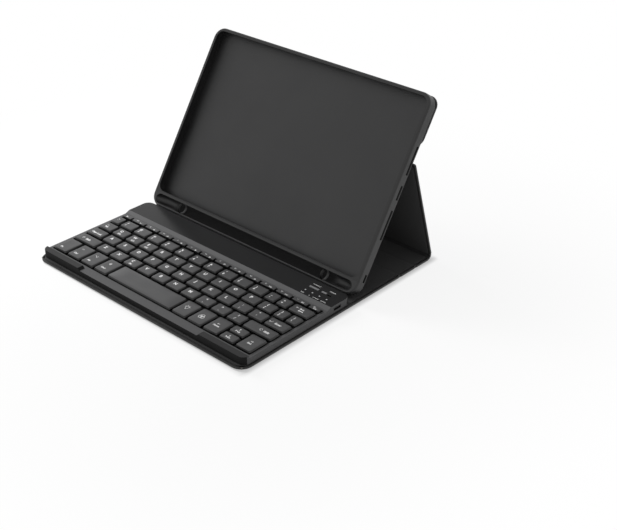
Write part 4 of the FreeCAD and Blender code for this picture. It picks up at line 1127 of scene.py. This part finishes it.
# %% Homing bars
BAR_LONG, BAR_DEEP, BAR_RISE, BAR_ROUND = 3.6, 0.55, 0.3, 0.12
BAR_FROM_EDGE, BAR_ROOT = 2.3, 0.2
FIRST_FINGERS = (4, 7)
dish_level = KEY_LOW + KEY_TALL - CAP["Dish"]
for number in FIRST_FINGERS:
    x, y, wide, deep = KEYS_OF["home_keys"][number]
    rings = []
    for inset, rise in ((0.0, -BAR_ROOT), (0.0, 0.6 * BAR_RISE), (BAR_ROUND, BAR_RISE)):
        left, right = x - BAR_LONG / 2 + inset, x + BAR_LONG / 2 - inset
        low = y - deep / 2 + BAR_FROM_EDGE + inset
        points = outline(left, low, right, low + BAR_DEEP - 2 * inset, [BAR_ROUND] * 4, 3)
        rings.append([(a, b, dish_level + rise) for a, b in points])
    bar = stack("homing_bar_%d" % number, rings, FLAT, KEYS)
    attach(bar, "home_keys")
print("homing bars:", BAR_LONG, "x", BAR_DEEP, "mm")

# %% [markdown]
# ## Hoops in the trough
#
# Two thin hoops stand in the trough. A tree sweeps a flat oval round a circle, so that each hoop gets a
# soft round rim, and sets one on each point. The oval's inner part is marked, so that the bore is painted
# dark as shade.

# %% Hoops in the trough
HOOP_X = 91.0
HOOP_STEPS, OVAL_STEPS = 64, 20
HOOP_SIZE = {"Ring": 4.95, "Thick": 0.5, "Long": 1.3}
BORE_SHARE = 0.2


def hoop_tree():
    """A flat oval swept round a circle, on each point."""
    tree, given, leave = shape_tree("trough hoops", "Spots", HOOP_SIZE, "Hoops")
    line = add(tree, "GeometryNodeCurvePrimitiveCircle", {"Resolution": HOOP_STEPS, "Radius": given["Ring"]})
    oval = add(tree, "GeometryNodeCurvePrimitiveCircle", {"Resolution": OVAL_STEPS, "Radius": 1.0})
    where = add(tree, "GeometryNodeInputPosition").outputs[0]
    inward = add(tree, "ShaderNodeSeparateXYZ", {0: where}).outputs[0]
    # The oval's inner part is marked for the bore's painted shade.
    bore = calc(tree, "GREATER_THAN", inward, BORE_SHARE)
    marked = keep(tree, oval.outputs[0], "bore", bore, "FLOAT")
    size = add(tree, "ShaderNodeCombineXYZ", {0: given["Thick"], 1: given["Long"], 2: 1.0}).outputs[0]
    flat = add(tree, "GeometryNodeTransform", {"Geometry": marked, "Scale": size}).outputs[0]
    hoop = add(tree, "GeometryNodeCurveToMesh", {"Curve": line.outputs[0], "Profile Curve": flat}).outputs[0]
    quarter = (0.0, math.pi / 2, 0.0)
    upright = add(tree, "GeometryNodeTransform", {"Geometry": hoop, "Rotation": quarter}).outputs[0]
    many = add(tree, "GeometryNodeInstanceOnPoints", {"Points": given["Spots"], "Instance": upright})
    solid = add(tree, "GeometryNodeRealizeInstances", {"Geometry": many.outputs[0]}).outputs[0]
    tree.links.new(finished(tree, solid, given["Finish"]), leave.inputs[0])
    return tree


hoop_spots = [TRAY @ (Vector((x, TROUGH_S, TROUGH_Z)) * MM) for x in (-HOOP_X, HOOP_X)]
spots = bpy.data.meshes.new("pen_hoops")
spots.from_pydata(hoop_spots, [], [])
hoops = bpy.data.objects.new("pen_hoops_round", spots)
scene.collection.objects.link(hoops)
run_tree(hoops, hoop_tree(), Finish=HOOP, **{label: value * MM for label, value in HOOP_SIZE.items()})
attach(hoops, "tray")
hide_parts("pen_hoops")
hoop_tops = max(vertex.co.z for vertex in hoops.data.vertices) / MM
print("hoops up to", round(hoop_tops, 1), "mm, in the CAD up to", span_of("pen_hoops", 2)[1])

# %% [markdown]
# ## Legends
#
# The legends are printed in white on the caps. Letters and words are text objects turned into flat meshes;
# arrows and small signs are drawn as ribbons along a few points. Both are then laid on the dish of the cap
# they belong to, a hair above the plastic, so that they follow its hollow like a real print. One mesh for
# each group of keys keeps the print moving with its keys.

# %% Print tools
PRINT_LIFT = 0.025
BOLD, FINE = 0.042, 0.006
CAPITAL_SHARE = 0.72
prints = {}


def on_cap(body, number, words, signs=()):
    """Collect what is printed on a key; a word is (text, height, x, y), in mm from the key's middle."""
    prints.setdefault(body, []).append((KEYS_OF[body][number], list(words), list(signs)))


def ribbon(points, thick, closed=False):
    """Left and right edges of a line of even width through some points."""
    count, edges = len(points), []
    for n, point in enumerate(points):
        before = points[n - 1] if n or closed else point
        after = points[(n + 1) % count] if n < count - 1 or closed else point
        run = Vector((after[0] - before[0], after[1] - before[1])).normalized()
        side = Vector((-run.y, run.x)) * thick / 2
        edges.append(((point[0] + side.x, point[1] + side.y), (point[0] - side.x, point[1] - side.y)))
    pairs = list(zip(edges, edges[1:] + (edges[:1] if closed else [])))
    return [(a[1], b[1], b[0], a[0]) for a, b in pairs if a is not b]


def circle(x, y, radius, thick=0.32, start=0.0, sweep=360.0, steps=20):
    """A ring or an arc."""
    closed = sweep >= 360.0
    spots = []
    for n in range(steps if closed else steps + 1):
        angle = math.radians(start + sweep * n / steps)
        spots.append((x + radius * math.cos(angle), y + radius * math.sin(angle)))
    return ribbon(spots, thick, closed)


def arrow(x, y, angle, long=2.6, head=1.0, thick=0.4):
    """A straight arrow round its middle, pointing along an angle in degrees."""
    c, s = math.cos(math.radians(angle)), math.sin(math.radians(angle))

    def put(u, v):
        return (x + u * c - v * s, y + u * s + v * c)

    tip = put(long / 2, 0)
    shaft = ribbon([put(-long / 2, 0), put(long / 2 - 0.2, 0)], thick)
    barbs = ribbon([put(long / 2 - head, head * 0.8), tip, put(long / 2 - head, -head * 0.8)], thick)
    return shaft + barbs


def shift_sign(x, y):
    """The hollow arrow of the shift keys."""
    right = [(1.4, 0.1), (0.65, 0.1), (0.65, -1.2)]
    left = [(-u, v) for u, v in reversed(right)]
    return ribbon([(x + u, y + v) for u, v in [(0, 1.5)] + right + left], 0.34, closed=True)


print("print lifts", PRINT_LIFT, "mm off the caps")

# %% [markdown]
# Every letter key has its letter up and to the left of the middle. Digits share their key with the sign
# above them, and so do the comma, the full stop and their neighbours. The thin function row has a tiny sign
# at the upper left and its number at the lower right.

# %% What is printed on the keys
SIGN_TALL = 2.3
DOUBLES = ["1!", "2@", "3#", "4$", "5%", "6^", "7&", "8*", "9(", "0)", "-_", "=+"]


def pair_of_signs(body, number, signs, x, apart):
    """The plain sign below and the shifted one above it."""
    on_cap(body, number, [(signs[0], SIGN_TALL, x, -apart / 2), (signs[1], SIGN_TALL, x, apart / 2)])


def function_sign(number):
    """Small generic signs for the function row, such as a ring, a frame and a play mark, taken in turn."""
    x, y = -3.6, 0.7
    signs = [
        circle(x, y, 0.6),
        circle(x, y, 0.35) + arrow(x + 1.3, y, 90, 1.3, 0.5, 0.25),
        circle(x, y, 0.55, 0.25),
        ribbon([(x - 0.9, y - 0.5), (x + 0.9, y - 0.5), (x + 0.9, y + 0.5), (x - 0.9, y + 0.5)], 0.25, True),
        ribbon([(x + 0.8, y + 0.6), (x - 0.6, y), (x + 0.8, y - 0.6)], 0.3, True),
        ribbon([(x - 0.6, y + 0.6), (x + 0.8, y), (x - 0.6, y - 0.6)], 0.3, True),
        ribbon([(x - 0.8, y + 0.6), (x + 0.2, y), (x - 0.8, y - 0.6)], 0.3)
        + ribbon([(x + 0.2, y + 0.6), (x + 1.2, y), (x + 0.2, y - 0.6)], 0.3),
        ribbon([(x - 0.7, y - 0.3), (x - 0.7, y + 0.3), (x + 0.3, y + 0.7), (x + 0.3, y - 0.7)], 0.25, True),
    ]
    return signs[number % len(signs)]


on_cap("function_keys", 0, [("Esc", 1.5, -0.8, -0.2)])
for number in range(1, 13):
    on_cap("function_keys", number, [("F%d" % number, 1.45, 2.9, -0.85)], function_sign(number))
lock_body = ribbon([(-1.9, 0.0), (-0.3, 0.0), (-0.3, 0.9), (-1.9, 0.9)], 0.3, True)
on_cap("function_keys", 13, [("Lock", 1.3, 0.6, -1.0)], lock_body + circle(-1.1, 1.0, 0.5, 0.25, 0, 180, 8))

on_cap("number_keys", 0, [("`", SIGN_TALL, -1.6, -1.0), ("~", SIGN_TALL, -1.6, 1.9)])
for number, signs in enumerate(DOUBLES, start=1):
    x = -KEYS_OF["number_keys"][number][2] / 2 + 4.4
    pair_of_signs("number_keys", number, signs, x, 3.5)
back_words = [("Back", 1.7, -0.6, 1.3), ("space", 1.7, 0.0, -1.3)]
on_cap("number_keys", 13, back_words, arrow(-5.6, 1.2, 180, 2.6, 0.9, 0.32))

LETTERS = {"upper_keys": "QWERTYUIOP", "home_keys": "ASDFGHJKL", "lower_keys": "ZXCVBNM"}
SECOND = {"Q": "CH1", "W": "CH2", "E": "CH3", "C": "Pair"}
for body, letters in LETTERS.items():
    for number, letter in enumerate(letters, start=1):
        words, signs = [(letter, 3.2, -1.9, 1.3)], []
        if letter in SECOND:
            words = [(letter, 2.9, -2.2, 1.9), (SECOND[letter], 1.5, -0.6, -2.5)]
            signs = ribbon([(-3.0, -3.6), (1.8, -3.6)], 0.3)
        on_cap(body, number, words, signs)
on_cap("upper_keys", 0, [("Tab", 2.1, -2.2, -1.4)], arrow(-3.4, 1.4, 0, 2.6, 0.9, 0.3))
for number, signs in ((11, "[{"), (12, "]}"), (13, "\\|")):
    pair_of_signs("upper_keys", number, signs, -1.4, 4.2)
on_cap("home_keys", 0, [("Caps Lock", 2.1, -0.6, -1.2)])
pair_of_signs("home_keys", 10, ";:", -1.4, 4.6)
pair_of_signs("home_keys", 11, "'\"", -1.4, 4.6)
enter_sign = arrow(-7.4, -0.4, 180, 3.0, 1.0, 0.32) + ribbon([(-5.95, -0.4), (-5.95, 1.3)], 0.32)
on_cap("home_keys", 12, [("Enter", 2.2, 0.4, 0.0)], enter_sign)
on_cap("lower_keys", 0, [("Shift", 2.3, -0.8, -0.4)], shift_sign(-7.4, -0.3))
for number, signs in ((8, ",<"), (9, ".>"), (10, "/?")):
    pair_of_signs("lower_keys", number, signs, -1.0, 4.8)
on_cap("lower_keys", 11, [("Shift", 2.3, 6.4, -0.2)], shift_sign(0.2, -0.1))
print("printed keys:", {body: len(items) for body, items in prints.items()})

# %% [markdown]
# The near row has larger keys and carries signs above its words: a peak, a step, a ring, a lamp with rays,
# three rings that overlap, and arrows. The space bar stays bare.

# %% The near row's print
on_cap("modifier_keys", 0, [("Fn", 2.2, -2.6, -5.4)])
peak_sign = ribbon([(-3.6, 3.2), (-2.4, 4.6), (-1.2, 3.2)], 0.4)
on_cap("modifier_keys", 1, [("Ctrl", 2.0, -2.4, -4.6)], peak_sign)
step_sign = ribbon([(-4.4, 4.4), (-3.0, 4.4), (-1.6, 2.8), (-0.2, 2.8)], 0.36)
step_sign += ribbon([(-1.6, 4.4), (-0.2, 4.4)], 0.36)
on_cap("modifier_keys", 2, [("Alt", 2.0, -2.6, -4.6)], step_sign)
ring_sign = circle(-1.4, 3.6, 1.1, 0.36) + circle(-1.4, 3.6, 0.3, 0.4)
on_cap("modifier_keys", 3, [("Cmd", 2.0, -1.8, -4.4)], ring_sign)
bulb = circle(-1.0, 1.2, 1.7, 0.4, -55, 290) + ribbon([(-1.7, -0.6), (-0.3, -0.6)], 0.4)
bulb += ribbon([(-1.6, -1.4), (-0.4, -1.4)], 0.4)
for ray in (20, 60, 120, 160):
    c, s = math.cos(math.radians(ray)), math.sin(math.radians(ray))
    bulb += ribbon([(-1.0 + 2.3 * c, 1.2 + 2.3 * s), (-1.0 + 3.1 * c, 1.2 + 3.1 * s)], 0.34)
on_cap("modifier_keys", 4, [], bulb)
rings_sign = circle(-0.6, 1.0, 1.7, 0.42) + circle(-1.7, -0.9, 1.7, 0.42) + circle(0.5, -0.9, 1.7, 0.42)
on_cap("modifier_keys", 5, [], rings_sign)
on_cap("arrow_keys", 0, [("Home", 1.9, -0.9, -1.5)], arrow(-0.9, 1.4, 180))
on_cap("arrow_keys", 1, [("End", 1.9, -0.6, -1.6)], arrow(-0.6, 1.4, 0))
on_cap("arrow_keys", 2, [("PgDn", 1.7, -0.6, -1.4)], arrow(-0.6, 1.3, 270, 2.2, 0.8, 0.36))
on_cap("arrow_keys", 3, [("PgUp", 1.7, -0.6, -1.4)], arrow(-0.6, 1.3, 90, 2.2, 0.8, 0.36))
print("near row printed:", len(prints["modifier_keys"]), "and", len(prints["arrow_keys"]))

# %% [markdown]
# Text objects are the quickest way to letters: Blender's own font, made a little bolder, turned into flat
# faces and thrown away again. Each face then gets the height of the cap's top at that spot. The words of one
# group of keys are evaluated together, because every evaluation takes its time.

# %% Lay the print on the caps
def flat_words(words, bold):
    """Text objects turned into flat meshes: for each word its points and faces, centred, in millimetres."""
    made = []
    for number, (text, tall) in enumerate(words):
        curve = bpy.data.curves.new("word_%d" % number, "FONT")
        curve.body = text
        curve.align_x = "CENTER"
        curve.size = 1.0
        curve.resolution_u = 2
        curve.offset = bold
        thing = bpy.data.objects.new("word_%d" % number, curve)
        scene.collection.objects.link(thing)
        made.append((thing, tall))
    bpy.context.view_layer.update()
    graph = bpy.context.evaluated_depsgraph_get()
    shapes = []
    for thing, tall in made:
        mesh = bpy.data.meshes.new_from_object(thing.evaluated_get(graph))
        scale = tall / CAPITAL_SHARE
        points = [(v.co.x * scale, v.co.y * scale - tall / 2) for v in mesh.vertices]
        shapes.append((points, [tuple(face.vertices) for face in mesh.polygons]))
        bpy.data.meshes.remove(mesh)
        curve = thing.data
        bpy.data.objects.remove(thing)
        bpy.data.curves.remove(curve)
    return shapes


def cap_level(cap, x, y, wide, deep):
    """The height of a cap's dished top at a spot, from the middle of the cap."""
    inset = cap["Lean"] + cap["Edge"]
    share = max(abs(x) / (wide / 2 - inset), abs(y) / (deep / 2 - inset))
    return KEY_LOW + cap["Height"] - cap["Dish"] * (1 - min(share, 1.0) ** 2) + PRINT_LIFT


def print_mesh(name, faces, material):
    """One flat mesh from faces of points in millimetres."""
    mesh = bmesh.new()
    for face in faces:
        mesh.faces.new([mesh.verts.new(Vector(point) * MM) for point in face])
    bmesh.ops.remove_doubles(mesh, verts=mesh.verts, dist=1e-7)
    for face in mesh.faces:
        face.normal_update()
    bmesh.ops.reverse_faces(mesh, faces=[f for f in mesh.faces if f.normal.z < 0])
    data = bpy.data.meshes.new(name)
    mesh.to_mesh(data)
    mesh.free()
    data.materials.append(material)
    piece = bpy.data.objects.new(name, data)
    scene.collection.objects.link(piece)
    return piece


for body, items in prints.items():
    words = [word for key, words, signs in items for word in words]
    shapes = iter(flat_words([(word[0], word[1]) for word in words], BOLD))
    faces = []
    for (x, y, wide, deep), words, signs in items:
        flat = list(signs)
        for text, tall, u, v in words:
            points, loops = next(shapes)
            flat += [[(points[n][0] + u, points[n][1] + v) for n in loop] for loop in loops]
        cap = CAP_OF[body]
        faces += [[(x + a, y + b, cap_level(cap, a, b, wide, deep)) for a, b in face] for face in flat]
    piece = print_mesh(body + "_print", faces, INK)
    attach(piece, body)
    print(body, "print faces:", len(piece.data.polygons))

# %% [markdown]
# ## Marks on the plateau
#
# Beside the button, the switch and the four lights stand small generic words. They are printed flat on the
# plateau, so they need no dish.

# %% Marks on the plateau
FAR_MARKS, NEAR_MARKS = 124.6, 108.3
FAR_TALL, NEAR_TALL = 1.35, 1.2
MARKS = [("CONNECT", FAR_TALL, 97.0, FAR_MARKS), ("POWER", FAR_TALL, 114.8, FAR_MARKS)]
for text, x in (("PAIR", 94.6), ("A", 102.4), ("CHARGE", 109.8), ("POWER", 118.0)):
    MARKS.append((text, NEAR_TALL, x, NEAR_MARKS))
PLATEAU = DECK_HIGH[2]
faces = []
for (text, tall, x, y), (points, loops) in zip(MARKS, flat_words([(m[0], m[1]) for m in MARKS], FINE)):
    for loop in loops:
        faces.append([(x + points[n][0], FRONT + y + points[n][1], PLATEAU + PRINT_LIFT) for n in loop])
marks = print_mesh("plateau_print", faces, INK)
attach(marks, "keyboard")
print("plateau marks:", len(MARKS))
